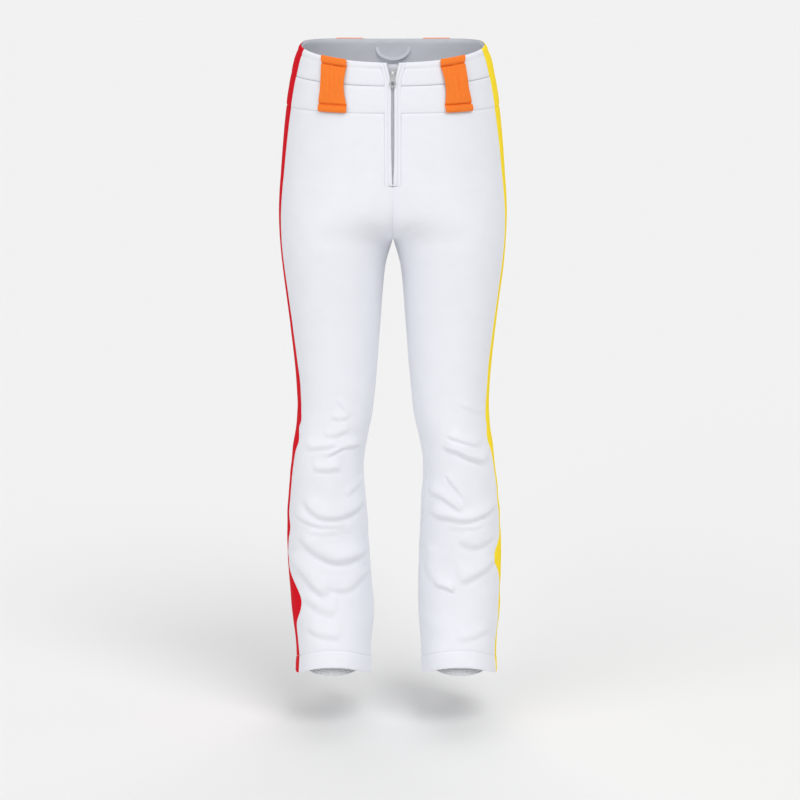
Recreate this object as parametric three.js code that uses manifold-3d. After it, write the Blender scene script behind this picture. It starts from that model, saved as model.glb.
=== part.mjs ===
// Flared softshell ski pants in the shape they take when worn, in millimetres.
// +Z is up, the front faces -Y and the wearer's left leg is on +X.
// The origin is the middle of the waist opening, level with the top of the fly.

import * as THREE from "three";
import * as BufferGeometryUtils from "three/addons/utils/BufferGeometryUtils.js";
import Module from "manifold-3d";

const wasm = await Module();
wasm.setup();

// ---- Lengths, measured down the body -------------------------------------

const UPPER_BAND = 37; // height of the waistband's upper tier at the fly
const LOWER_BAND = 42; // height of its lower tier, the yoke
const RISE = 285; // top of the fly to the crotch
const CROTCH_TO_KNEE = 365;
const INSEAM = 735; // crotch to hem
const SIDE_RISE = 28; // how much higher the band's top edge is at the side than at the fly
const BACK_RISE = 34; // and at the centre of the back
const HEM_ARCH = 32; // how far the hem lifts over the instep
const HEM_HEEL_DROP = 6; // how far it drops at the heel

const YOKE_LINE = -(UPPER_BAND + LOWER_BAND);
const CROTCH = -RISE;
const KNEE = CROTCH - CROTCH_TO_KNEE;
const HEM = CROTCH - INSEAM;

// ---- Fabric ----------------------------------------------------------------

const SHELL = 1.6; // softshell thickness
const FACING = 1.2; // facing and gaiter thickness
const SEAM = 0.6; // gap between two panels that are sewn edge to edge
const LAYER = 1; // gap between two layers of fabric
const SQUARENESS = 2.2; // 2 is an ellipse; more is a flatter front, back and side

// ---- Girths: every level of the body and legs ------------------------------
// Above the crotch the section is one loop round both legs, and centre and width are left out.
// From the crotch down, centre is the leg's distance from the middle and width its whole width.

const share = (from, to, part) => from + (to - from) * part;

const CROTCH_CLEARANCE = 0.6; // between the two legs where they part

const hipLevels = [
  { z: SIDE_RISE, halfWidth: 147, front: 96.3, back: 90 },
  { z: 0, halfWidth: 158, front: 98, back: 97 },
  { z: YOKE_LINE, halfWidth: 172, front: 102.7, back: 114 },
  { z: share(YOKE_LINE, CROTCH, 0.5), halfWidth: 182, front: 109, back: 130 },
  { z: share(YOKE_LINE, CROTCH, 0.78), halfWidth: 186, front: 108, back: 126 },
  { z: CROTCH, halfWidth: 186, front: 100, back: 108 },
];

const legLevels = [
  { z: share(CROTCH, KNEE, 0.12), centre: 96.4, width: 168, front: 95, back: 93 },
  { z: share(CROTCH, KNEE, 0.4), centre: 94.3, width: 146, front: 85, back: 78 },
  { z: share(CROTCH, KNEE, 0.73), centre: 94.5, width: 126, front: 78, back: 62 },
  { z: KNEE, centre: 108, width: 118, front: 76, back: 54 },
  { z: share(KNEE, HEM, 0.2), centre: 110, width: 129, front: 70, back: 68 },
  { z: share(KNEE, HEM, 0.48), centre: 109, width: 138, front: 62, back: 86 },
  { z: share(KNEE, HEM, 0.7), centre: 106, width: 137, front: 64, back: 94 },
  { z: share(KNEE, HEM, 0.86), centre: 105, width: 128, front: 72, back: 99 },
  { z: HEM, centre: 106, width: 127, front: 82, back: 104 },
];

const STANCE = 5; // the left foot stands this much further out, and the right this much further in

// Half the side stripe's width, from the waist to the hem.
const STRIPE_AT_WAIST = 38;
const STRIPE_AT_THIGH = 32;
const STRIPE_AT_KNEE = 20;
const STRIPE_AT_FLARE = 56;
const STRIPE_AT_HEM = 24;

// ---- Where the fabric folds: rigid panels stop short of the hips and the knees ----

const HIP_FOLD_TILT = THREE.MathUtils.degToRad(35); // groin line, rising outwards from the crotch
const HIP_FOLD_LENGTH = 180;
const KNEE_FOLD_HALF = 90;

// ---- Fly and zip -----------------------------------------------------------

const FLY_LENGTH = 192;
const FLY_END_PROUD = 0.35; // how far the fly's lower end stands off the belly
const FLY_GAP_HALF = 2.2; // half the slot between the two welts
const FLY_OPEN = 8; // how far each edge is folded aside at the top of the open fly
const WELT_WIDTH = 10;
const WELT = 1.6; // welt thickness
const TEETH_WIDTH = 1.4;
const TEETH = 1.6;
const TAPE_WIDTH = 10;
const TAPE = 0.8;
const SLIDER_TOP = 11; // depth of the slider's top below the top of the fly
const SLIDER_LENGTH = 16;
const SLIDER_WIDTH = 9.2;
const SLIDER_PLATE = 1.2;
const GUARD_WIDTH = 34;
const STOP_LENGTH = 4;

// ---- Belt loops, gaiters -----------------------------------------------------

const LOOP_WIDTH = 43;
const LOOP_FROM_MIDDLE = 95; // centre of a front loop, sideways from the fly
const BACK_LOOP_FROM_MIDDLE = 70;
const LOOP = 2; // webbing thickness
const LOOP_BOW = 11; // clear space for a belt
const LOOP_TAB = 0.12; // sewn share of the loop's length at each end
const HEM_FACING_HEIGHT = 30;
const GAITER_ABOVE_HEM = 190;
const GAITER_LENGTH = 150;
const GAITER_INSET = 13; // how far inside the leg its lower end hangs
const GAITER_ELASTIC = 22;

// ---- Materials ---------------------------------------------------------------

const colours = {
  shell: [0xf0f2f8, 0.75, 0],
  red: [0xd01830, 0.7, 0],
  yellow: [0xf8d830, 0.7, 0],
  orange: [0xfa8030, 0.75, 0],
  facing: [0xe6e8ee, 0.85, 0],
  tape: [0xf2f3f6, 0.8, 0],
  metal: [0xd8dade, 0.3, 0.9],
  gaiter: [0xdfe2ea, 0.6, 0],
  elastic: [0xececf0, 0.8, 0],
};

const pants = new THREE.Group();

function add(name, geometry, colour, parent = pants) {
  const [color, roughness, metalness] = colours[colour];
  const material = new THREE.MeshStandardMaterial({ color, roughness, metalness });
  const mesh = new THREE.Mesh(geometry, material);
  mesh.name = name;
  parent.add(mesh);
  return mesh;
}

// ---- Sections of the body ----------------------------------------------------

// A smooth curve through [z, value] pairs listed from the top down.
function curveThrough(points) {
  const slopes = points.map((point, i) => {
    const before = points[Math.max(i - 1, 0)];
    const after = points[Math.min(i + 1, points.length - 1)];
    return (after[1] - before[1]) / (after[0] - before[0]);
  });
  return (z) => {
    const last = points.length - 2;
    let i = 0;
    while (i < last && z < points[i + 1][0]) i += 1;
    const [z0, value0] = points[i];
    const [z1, value1] = points[i + 1];
    const span = z1 - z0;
    const t = THREE.MathUtils.clamp((z - z0) / span, 0, 1);
    const t2 = t * t;
    const t3 = t2 * t;
    return (
      (2 * t3 - 3 * t2 + 1) * value0 +
      (t3 - 2 * t2 + t) * span * slopes[i] +
      (3 * t2 - 2 * t3) * value1 +
      (t3 - t2) * span * slopes[i + 1]
    );
  };
}

const hipEnd = hipLevels[hipLevels.length - 1];
const crotchCentre = (hipEnd.halfWidth + CROTCH_CLEARANCE / 2) / 2;
const crotchWidth = hipEnd.halfWidth - CROTCH_CLEARANCE / 2;
const crotchLevel = { ...hipEnd, centre: crotchCentre, width: crotchWidth };
const bodyLevels = [...hipLevels, ...legLevels];

const frontAt = curveThrough(bodyLevels.map(({ z, front }) => [z, front]));
const backAt = curveThrough(bodyLevels.map(({ z, back }) => [z, back]));
const hipHalfWidthAt = curveThrough(hipLevels.map(({ z, halfWidth }) => [z, halfWidth]));
const legCentreAt = curveThrough([crotchLevel, ...legLevels].map(({ z, centre }) => [z, centre]));
const legWidthAt = curveThrough([crotchLevel, ...legLevels].map(({ z, width }) => [z, width]));

const LEGS_PART_FROM = share(CROTCH, 0, 0.42); // the centre seam starts to sink between the legs
const PARTING_POWER = 1.5;

const stripeHalfAt = curveThrough([
  [BACK_RISE, STRIPE_AT_WAIST],
  [YOKE_LINE, STRIPE_AT_WAIST],
  [CROTCH, STRIPE_AT_THIGH],
  [share(CROTCH, KNEE, 0.75), STRIPE_AT_THIGH],
  [KNEE, STRIPE_AT_KNEE],
  [share(KNEE, HEM, 0.4), STRIPE_AT_KNEE],
  [share(KNEE, HEM, 0.68), STRIPE_AT_FLARE],
  [share(KNEE, HEM, 0.88), STRIPE_AT_HEM],
  [HEM - HEM_HEEL_DROP, STRIPE_AT_HEM],
]);

function sectionAt(side, z) {
  const middle = (backAt(z) - frontAt(z)) / 2;
  const halfDepth = (backAt(z) + frontAt(z)) / 2;
  if (z <= CROTCH) {
    const standing = side * STANCE * THREE.MathUtils.smoothstep(-z, -KNEE, -HEM);
    return { centre: legCentreAt(z) + standing, halfWidth: legWidthAt(z) / 2, middle, halfDepth };
  }
  const parted = THREE.MathUtils.clamp((LEGS_PART_FROM - z) / (LEGS_PART_FROM - CROTCH), 0, 1);
  const centre = crotchCentre * parted ** PARTING_POWER;
  return { centre, halfWidth: hipHalfWidthAt(z) - centre, middle, halfDepth };
}

const signedPower = (value, power) => Math.sign(value) * Math.abs(value) ** power;

// A point of the shell's outer face. angle is 0 at the outer side, 90 degrees at the front, -90 at
// the back and 180 at the inseam.
function outerPoint(side, angle, z) {
  const { centre, halfWidth, middle, halfDepth } = sectionAt(side, z);
  const across = signedPower(Math.cos(angle), 2 / SQUARENESS);
  const forward = signedPower(Math.sin(angle), 2 / SQUARENESS);
  return new THREE.Vector3(side * (centre + halfWidth * across), middle - halfDepth * forward, z);
}

const ANGLE_STEP = 0.01;
const HEIGHT_STEP = 1;

// A point that lies inset below the outer face, square to it.
function shellPoint(side, angle, z, inset = 0) {
  const point = outerPoint(side, angle, z);
  if (inset === 0) return point;
  const round = outerPoint(side, angle + ANGLE_STEP, z).sub(outerPoint(side, angle - ANGLE_STEP, z));
  const up = outerPoint(side, angle, z + HEIGHT_STEP).sub(outerPoint(side, angle, z - HEIGHT_STEP));
  const inward = round.cross(up).normalize().multiplyScalar(side);
  return point.addScaledVector(inward, inset);
}

// The angle at which the shell is this far in front of the section's widest point.
function angleForward(side, z, distance) {
  const { halfDepth } = sectionAt(side, z);
  return Math.asin((distance / halfDepth) ** (SQUARENESS / 2));
}

// The angle at which the front of the shell is this far from the body's middle plane.
function angleFromMiddle(side, z, distance) {
  const { centre, halfWidth } = sectionAt(side, z);
  const across = THREE.MathUtils.clamp((distance - centre) / halfWidth, -1, 1);
  return Math.acos(signedPower(across, SQUARENESS / 2));
}

const stripeAngle = (side, z, gap = 0) => angleForward(side, z, stripeHalfAt(z) + gap);
const inseamAngle = (side, z) => Math.PI - angleForward(side, z, SEAM / 2);

// ---- Seam lines that run round the body: each height depends on the angle ----

function roundLine(atFront, sideRise, backRise) {
  const linear = backRise / 2;
  const square = backRise / 2 - sideRise;
  return (angle) => {
    const forward = Math.sin(angle);
    return atFront + sideRise - linear * forward + square * forward ** 2;
  };
}

const topEdge = roundLine(0, SIDE_RISE, BACK_RISE);
const tunnelSeam = roundLine(-UPPER_BAND, SIDE_RISE * 0.65, BACK_RISE * 0.7);
const yokeSeam = roundLine(YOKE_LINE, SIDE_RISE * 0.33, BACK_RISE * 0.4);
const hemEdge = (angle) => {
  const forward = Math.sin(angle);
  const linear = (HEM_ARCH + HEM_HEEL_DROP) / 2;
  const square = (HEM_ARCH - HEM_HEEL_DROP) / 2;
  return HEM + linear * forward + square * forward ** 2;
};

// Height at which the column of points at angleAt(z) meets the tilted plane of the groin,
// moved down the leg by distance.
function groinHeight(side, angleAt, distance) {
  let high = -YOKE_LINE;
  let low = KNEE;
  for (let step = 0; step < 40; step += 1) {
    const z = (high + low) / 2;
    const outward = side * shellPoint(side, angleAt(z), z).x;
    const down = outward * Math.sin(HIP_FOLD_TILT) + (CROTCH - z) * Math.cos(HIP_FOLD_TILT);
    if (down < distance) high = z;
    else low = z;
  }
  return (high + low) / 2;
}

// ---- Fabric solids -------------------------------------------------------------

const evenly = (count) => Array.from({ length: count + 1 }, (_, i) => i / count);

function facingOut(geometry) {
  const position = geometry.getAttribute("position");
  const index = geometry.getIndex().array;
  const corner = [new THREE.Vector3(), new THREE.Vector3(), new THREE.Vector3()];
  let volume = 0;
  for (let i = 0; i < index.length; i += 3) {
    corner.forEach((point, k) => point.fromBufferAttribute(position, index[i + k]));
    volume += corner[0].dot(corner[1].cross(corner[2]));
  }
  if (volume < 0) {
    for (let i = 0; i < index.length; i += 3) [index[i], index[i + 1]] = [index[i + 1], index[i]];
  }
  geometry.computeVertexNormals();
  return geometry;
}

// A sheet of fabric as a closed solid. place(u, v, depth) gives the point at shares u and v of the
// sheet, on its outer face where depth is 0 and on its inner face where depth is 1.
function fabric(place, columns, rows, ring = false) {
  const vertices = [];
  const triangles = [];
  const across = columns.length;
  const down = rows.length;
  for (const depth of [0, 1]) {
    for (const v of rows) {
      for (const u of columns) vertices.push(...place(u, v, depth).toArray());
    }
  }
  const at = (depth, row, column) => (depth * down + row) * across + (column % across);
  const quad = (a, b, c, d) => triangles.push(a, b, c, a, c, d);
  const cells = ring ? across : across - 1;
  for (let column = 0; column < cells; column += 1) {
    const next = column + 1;
    for (let row = 0; row < down - 1; row += 1) {
      quad(at(0, row, column), at(0, row + 1, column), at(0, row + 1, next), at(0, row, next));
      quad(at(1, row, column), at(1, row, next), at(1, row + 1, next), at(1, row + 1, column));
    }
    const end = down - 1;
    quad(at(0, 0, column), at(0, 0, next), at(1, 0, next), at(1, 0, column));
    quad(at(0, end, column), at(1, end, column), at(1, end, next), at(0, end, next));
  }
  if (!ring) {
    const edge = across - 1;
    for (let row = 0; row < down - 1; row += 1) {
      quad(at(0, row, 0), at(1, row, 0), at(1, row + 1, 0), at(0, row + 1, 0));
      quad(at(0, row, edge), at(0, row + 1, edge), at(1, row + 1, edge), at(1, row, edge));
    }
  }
  const geometry = new THREE.BufferGeometry();
  geometry.setAttribute("position", new THREE.Float32BufferAttribute(vertices, 3));
  geometry.setIndex(triangles);
  return facingOut(geometry);
}

// A panel between two seams. angles(z, v) gives its two edges, and the heights at its top and
// bottom depend on the angle, so the height of each point is settled in a few steps.
function panel(side, angles, top, bottom, columns, rows, { inset = 0, thick = SHELL } = {}) {
  const place = (u, v, depth) => {
    let z = share(top(0), bottom(0), v);
    let angle = 0;
    for (let step = 0; step < 6; step += 1) {
      const [from, to] = angles(z, v);
      angle = share(from, to, u);
      z = share(top(angle), bottom(angle), v);
    }
    const lean = typeof inset === "function" ? inset(v) : inset;
    return shellPoint(side, angle, z, lean + depth * thick);
  };
  return fabric(place, columns, rows);
}

const lower = (line, by) => (angle) => line(angle) - by;

// ---- Waistband -----------------------------------------------------------------

const RIGHT = -1;
const LEFT = 1;
const sides = [
  { side: RIGHT, name: "right", stripe: "red" },
  { side: LEFT, name: "left", stripe: "yellow" },
];

const flyOpenAt = (z) => FLY_OPEN * THREE.MathUtils.clamp(1 + z / (SLIDER_TOP + SLIDER_LENGTH), 0, 1.5);
const flyEdgeAt = (z) => FLY_GAP_HALF + WELT_WIDTH + SEAM + flyOpenAt(z);

function waistTiers() {
  const tiers = [
    ["waistband", topEdge, lower(tunnelSeam, -SEAM / 2), 3],
    ["yoke", lower(tunnelSeam, SEAM / 2), lower(yokeSeam, -SEAM / 2), 3],
  ];
  for (const [tier, top, bottom, rows] of tiers) {
    for (const { side, name } of sides) {
      const angles = (z) => [stripeAngle(side, z, SEAM), angleFromMiddle(side, z, flyEdgeAt(z))];
      const front = panel(side, angles, top, bottom, evenly(9), evenly(rows));
      add(`${tier}_front_${name}`, front, "shell");
    }
    add(`${tier}_back`, acrossTheBack(top, bottom, 30, rows), "shell");
  }
}

// A panel from one side stripe round the back to the other.
function acrossTheBack(top, bottom, columns, rows) {
  const place = (u, v, depth) => {
    const side = u < 0.5 ? RIGHT : LEFT;
    const fromStripe = 1 - Math.abs(2 * u - 1);
    let angle = -Math.PI / 4;
    let z = share(top(angle), bottom(angle), v);
    for (let step = 0; step < 6; step += 1) {
      angle = -share(stripeAngle(side, z, SEAM), Math.PI / 2, fromStripe);
      z = share(top(angle), bottom(angle), v);
    }
    return shellPoint(side, angle, z, depth * SHELL);
  };
  return fabric(place, evenly(columns), evenly(rows));
}

// The facing lines the whole band from one edge of the fly round to the other.
function waistFacing() {
  const top = lower(topEdge, 1.5);
  const bottom = lower(yokeSeam, -3);
  const place = (u, v, depth) => {
    const side = u < 0.5 ? RIGHT : LEFT;
    const toFly = Math.abs(2 * u - 1);
    let z = share(top(0), bottom(0), v);
    let angle = 0;
    for (let step = 0; step < 6; step += 1) {
      const flyAngle = angleFromMiddle(side, z, flyEdgeAt(z) + LAYER);
      angle = share(-Math.PI / 2, flyAngle, toFly);
      z = share(top(angle), bottom(angle), v);
    }
    return shellPoint(side, angle, z, SHELL + LAYER + depth * FACING);
  };
  add("waistband_facing", fabric(place, evenly(60), evenly(4)), "facing");
}

// ---- Belt loops ------------------------------------------------------------------

function beltLoops() {
  const rows = [0, LOOP_TAB, 0.2, 0.3, 0.42, 0.58, 0.7, 0.8, 1 - LOOP_TAB, 1];
  const places = [
    { where: "front", centre: LOOP_FROM_MIDDLE, facing: 1 },
    { where: "back", centre: BACK_LOOP_FROM_MIDDLE, facing: -1 },
  ];
  const top = lower(topEdge, -1);
  const bottom = lower(yokeSeam, 0);
  for (const { side, name } of sides) {
    for (const { where, centre, facing } of places) {
      const angles = (z) => [
        facing * angleFromMiddle(side, z, centre + LOOP_WIDTH / 2),
        facing * angleFromMiddle(side, z, centre - LOOP_WIDTH / 2),
      ];
      const bow = (v) => {
        const rise = THREE.MathUtils.smoothstep(v, LOOP_TAB, 0.3);
        const fall = THREE.MathUtils.smoothstep(1 - v, LOOP_TAB, 0.3);
        return -(LAYER + LOOP) - LOOP_BOW * Math.min(rise, fall);
      };
      const loop = panel(side, angles, top, bottom, evenly(4), rows, { inset: bow, thick: LOOP });
      add(`belt_loop_${where}_${name}`, loop, "orange");
    }
  }
}

// ---- Seat, thighs and lower legs ---------------------------------------------------

const kneeFoldTop = () => KNEE + KNEE_FOLD_HALF;
const kneeFoldBottom = () => KNEE - KNEE_FOLD_HALF;

function seat({ side, name, stripe }) {
  const flyBottom = (-FLY_LENGTH - SEAM - YOKE_LINE) / (CROTCH - YOKE_LINE);
  const flyTurn = flyBottom + 0.02;
  const besideFly = evenly(3).map((part) => part * flyBottom);
  const belowFly = [0, 0.3, 0.53, 0.72, 0.88, 1].map((part) => share(flyTurn, 1, part));
  const rows = [...besideFly, ...belowFly];
  const columns = evenly(13).map((part) => 1 - (1 - part) ** 1.7); // closer towards the crotch
  const inseamEdge = (z) => Math.min(angleFromMiddle(side, z, SEAM / 2), inseamAngle(side, z));

  const place = (forward) => (u, v, depth) => {
    const angleAt = (z, row) => {
      const meetsFly = forward > 0 && row <= flyBottom;
      const pulled = meetsFly ? inseamEdge(z) - angleFromMiddle(side, z, flyEdgeAt(z)) : 0;
      return forward * (share(stripeAngle(side, z, SEAM), inseamEdge(z), u) - pulled * u ** 6);
    };
    const bottom = groinHeight(side, (z) => angleAt(z, 1), -SEAM / 2);
    let z = share(YOKE_LINE, bottom, v);
    for (let step = 0; step < 6; step += 1) {
      z = share(yokeSeam(angleAt(z, v)) - SEAM / 2, bottom, v);
    }
    return shellPoint(side, angleAt(z, v), z, depth * SHELL);
  };
  add(`hip_front_${name}`, fabric(place(1), columns, rows), "shell");
  add(`seat_back_${name}`, fabric(place(-1), columns, rows), "shell");

  const stripePlace = (u, v, depth) => {
    const angleAt = (z) => stripeAngle(side, z) * (1 - 2 * u);
    const bottom = groinHeight(side, angleAt, -SEAM / 2);
    let z = share(YOKE_LINE, bottom, v);
    for (let step = 0; step < 6; step += 1) z = share(yokeSeam(angleAt(z)) - SEAM / 2, bottom, v);
    return shellPoint(side, angleAt(z), z, depth * SHELL);
  };
  add(`stripe_${stripe}_hip`, fabric(stripePlace, evenly(4), evenly(4)), stripe);
}

function waistStripe({ side, stripe }) {
  const angles = (z) => [-stripeAngle(side, z), stripeAngle(side, z)];
  const bottom = lower(yokeSeam, -SEAM / 2);
  const piece = panel(side, angles, topEdge, bottom, evenly(6), evenly(5));
  add(`stripe_${stripe}_waist`, piece, stripe);
}

// The band of fabric that folds at the groin.
function hipFold({ side, name }) {
  const place = (u, v, depth) => {
    const angle = Math.PI * (2 * u - 1);
    const top = groinHeight(side, () => angle, SEAM / 2);
    const bottom = groinHeight(side, () => angle, HIP_FOLD_LENGTH - SEAM / 2);
    return shellPoint(side, angle, share(top, bottom, v), depth * SHELL);
  };
  add(`hip_fold_${name}`, fabric(place, evenly(24).slice(0, -1), evenly(6), true), "shell");
}

// Front panel, back panel and stripe of one stretch of the leg.
function legStretch({ side, name, stripe }, stretch, top, bottom, columns, rows) {
  for (const [face, forward] of [["front", 1], ["back", -1]]) {
    const angleAt = (z, u) => {
      return forward * share(stripeAngle(side, z, SEAM), inseamAngle(side, z), u);
    };
    const piece = fabric(legPlace(side, angleAt, top, bottom), evenly(columns), evenly(rows));
    add(`${stretch}_${face}_${name}`, piece, "shell");
  }
  const stripeAt = (z, u) => stripeAngle(side, z) * (1 - 2 * u);
  const piece = fabric(legPlace(side, stripeAt, top, bottom), evenly(4), evenly(rows));
  add(`stripe_${stripe}_${stretch}`, piece, stripe);
}

// top and bottom take (side, angleAt) and give the height where that column of points ends.
function legPlace(side, angleAt, top, bottom) {
  return (u, v, depth) => {
    const column = (z) => angleAt(z, u);
    const z = share(top(side, column), bottom(side, column), v);
    return shellPoint(side, column(z), z, depth * SHELL);
  };
}

const thighTop = (side, column) => groinHeight(side, column, HIP_FOLD_LENGTH + SEAM / 2);
const thighBottom = () => kneeFoldTop() + SEAM / 2;
const shinTop = () => kneeFoldBottom() - SEAM / 2;
const shinBottom = (side, column) => hemEdge(column(HEM));

function legRing(side, top, bottom, insetTop, insetBottom, thick, columns, rows) {
  const place = (u, v, depth) => {
    const angle = Math.PI * (2 * u - 1);
    const inset = share(insetTop, insetBottom, v) + depth * thick;
    return shellPoint(side, angle, share(top(angle), bottom(angle), v), inset);
  };
  return fabric(place, evenly(columns).slice(0, -1), evenly(rows), true);
}

function leg(which) {
  const { side, name } = which;
  hipFold(which);
  legStretch(which, "thigh", thighTop, thighBottom, 9, 3);

  const foldTop = () => kneeFoldTop() - SEAM / 2;
  const foldBottom = () => kneeFoldBottom() + SEAM / 2;
  add(`knee_fold_${name}`, legRing(side, foldTop, foldBottom, 0, 0, SHELL, 24, 6), "shell");

  legStretch(which, "shin", shinTop, shinBottom, 12, 8);

  const inside = SHELL + 2 * LAYER;
  const facingTop = lower(hemEdge, -HEM_FACING_HEIGHT);
  const facingBottom = lower(hemEdge, -1);
  const hemFacing = legRing(side, facingTop, facingBottom, inside, inside, FACING, 32, 1);
  add(`hem_facing_${name}`, hemFacing, "facing");

  const gaiterTop = () => HEM + GAITER_ABOVE_HEM;
  const gaiterBottom = () => gaiterTop() - GAITER_LENGTH;
  const gaiter = legRing(side, gaiterTop, gaiterBottom, inside, GAITER_INSET, FACING, 24, 4);
  add(`snow_gaiter_${name}`, gaiter, "gaiter");

  const elasticTop = () => gaiterBottom() - SEAM;
  const elasticBottom = () => elasticTop() - GAITER_ELASTIC;
  const around = [GAITER_INSET, GAITER_INSET, FACING];
  const elastic = legRing(side, elasticTop, elasticBottom, ...around, 24, 1);
  add(`gaiter_elastic_${name}`, elastic, "elastic");
}

// ---- Solids of the zip, in a group that leans with the centre front ------------------
// Inside the group -Z runs down the fly, -Y faces out, and y = 0 is the outer face of the shell.

const bellyAt = (z) => -outerPoint(LEFT, angleFromMiddle(LEFT, z, 0), z).y;
const flyLean = (bellyAt(-FLY_LENGTH) + FLY_END_PROUD - bellyAt(0)) / FLY_LENGTH;

const fly = new THREE.Group();
fly.position.set(0, -bellyAt(0), 0);
fly.rotation.x = -Math.atan(flyLean);
pants.add(fly);

const WELT_BACK = WELT / 2;
const TAPE_FRONT = WELT_BACK + SEAM;
const TAPE_BACK = TAPE_FRONT + TAPE;
const TEETH_FRONT = TAPE_FRONT - SEAM;
const TEETH_BACK = TEETH_FRONT + TEETH;
const SLIDER_BACK_PLATE = Math.max(TAPE_BACK, TEETH_BACK) + SEAM;
const SLIDER_FRONT_PLATE = -WELT / 2 - SEAM - SLIDER_PLATE;
const STUD_FRONT = SHELL + LAYER + FACING + 2.2;
const STUD_THICK = 2.2;
const GUARD_FRONT = STUD_FRONT + STUD_THICK + LAYER;
const GUARD = 1.2;

function toManifold(geometry) {
  const bare = geometry.index ? geometry.clone() : geometry;
  for (const attribute of ["normal", "uv"]) bare.deleteAttribute(attribute);
  const merged = BufferGeometryUtils.mergeVertices(bare, 1e-5);
  const vertProperties = new Float32Array(merged.getAttribute("position").array);
  const triVerts = new Uint32Array(merged.getIndex().array);
  return new wasm.Manifold(new wasm.Mesh({ numProp: 3, vertProperties, triVerts }));
}

function fromManifold(solid) {
  const { vertProperties, triVerts } = solid.getMesh();
  const geometry = new THREE.BufferGeometry();
  geometry.setAttribute("position", new THREE.Float32BufferAttribute(vertProperties, 3));
  geometry.setIndex(Array.from(triVerts));
  geometry.computeVertexNormals();
  return geometry;
}

function join(...geometries) {
  return fromManifold(geometries.map(toManifold).reduce((whole, piece) => whole.add(piece)));
}

function box(x0, x1, y0, y1, z0, z1) {
  const geometry = new THREE.BoxGeometry(x1 - x0, y1 - y0, z1 - z0);
  return geometry.translate((x0 + x1) / 2, (y0 + y1) / 2, (z0 + z1) / 2);
}

// A flat plate seen from the front: shape is drawn in x and in depth below the group's origin,
// and lies between two y values.
function plate(shape, yFront, yBack) {
  const geometry = new THREE.ExtrudeGeometry(shape, {
    depth: yBack - yFront,
    bevelEnabled: false,
    curveSegments: 6,
  });
  return geometry.rotateX(-Math.PI / 2).translate(0, yFront, 0);
}

// A strip that runs down the fly beside its open edge, from near to far from the middle.
function flyStrip(side, near, far, front, back, top, bottom) {
  const place = (u, v, depth) => {
    const z = share(top, bottom, v);
    const x = side * (share(near, far, u) + flyOpenAt(z));
    return new THREE.Vector3(x, share(front, back, depth), z);
  };
  const openEnd = (top + SLIDER_TOP + SLIDER_LENGTH) / (top - bottom);
  return fabric(place, evenly(1), [0, openEnd, 1]);
}

function flyPieces() {
  const bottom = -FLY_LENGTH;
  const stripTop = -1;
  for (const { side, name } of sides) {
    const weltTo = FLY_GAP_HALF + WELT_WIDTH;
    const welt = flyStrip(side, FLY_GAP_HALF, weltTo, -WELT / 2, WELT_BACK, stripTop, bottom);
    add(`fly_welt_${name}`, welt, "shell", fly);

    const teethFrom = SEAM / 2;
    const teethTo = teethFrom + TEETH_WIDTH;
    const teethTop = stripTop - STOP_LENGTH - SEAM;
    const teethEnd = bottom + STOP_LENGTH + SEAM;
    const teeth = flyStrip(side, teethFrom, teethTo, TEETH_FRONT, TEETH_BACK, teethTop, teethEnd);
    add(`zip_teeth_${name}`, teeth, "tape", fly);

    const stop = flyStopTop(side, teethFrom, teethTo, stripTop);
    add(`zip_top_stop_${name}`, stop, "metal", fly);

    const tapeFrom = teethTo + SEAM;
    const tapeTo = tapeFrom + TAPE_WIDTH;
    const tape = flyStrip(side, tapeFrom, tapeTo, TAPE_FRONT, TAPE_BACK, stripTop, bottom);
    add(`zip_tape_${name}`, tape, "tape", fly);
  }

  const stopHalf = SEAM / 2 + TEETH_WIDTH;
  const stopBox = [-stopHalf, stopHalf, TEETH_FRONT, TEETH_BACK, bottom, bottom + STOP_LENGTH];
  add("zip_bottom_stop", box(...stopBox), "metal", fly);
}

function flyStopTop(side, near, far, top) {
  const place = (u, v, depth) => {
    const z = top - STOP_LENGTH * v;
    const x = side * (share(near, far, u) + flyOpenAt(z));
    return new THREE.Vector3(x, share(TEETH_FRONT - SEAM, TEETH_BACK + SEAM, depth), z);
  };
  return fabric(place, evenly(1), evenly(1));
}

// The guard closes the fly from behind. It is sewn in on the left and fastens on the right.
function guard() {
  const half = GUARD_WIDTH / 2;
  const tab = SNAP_FROM_MIDDLE + SNAP_RADIUS + 4;
  const tabHeight = 30;
  const shape = new THREE.Shape();
  shape.moveTo(half, 3);
  shape.lineTo(half, FLY_LENGTH);
  shape.quadraticCurveTo(half, FLY_LENGTH + 10, 0, FLY_LENGTH + 10);
  shape.quadraticCurveTo(-half, FLY_LENGTH + 10, -half, FLY_LENGTH);
  shape.lineTo(-half, tabHeight + 8);
  shape.quadraticCurveTo(-half, tabHeight, -tab + 4, tabHeight);
  shape.quadraticCurveTo(-tab, tabHeight, -tab, tabHeight - 5);
  shape.lineTo(-tab, 3);
  shape.closePath();
  add("fly_guard", plate(shape, GUARD_FRONT, GUARD_FRONT + GUARD), "facing", fly);
}

const SNAP_FROM_MIDDLE = 28;
const SNAP_DEPTH = 15; // below the top of the fly
const SNAP_RADIUS = 5.5;

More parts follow.
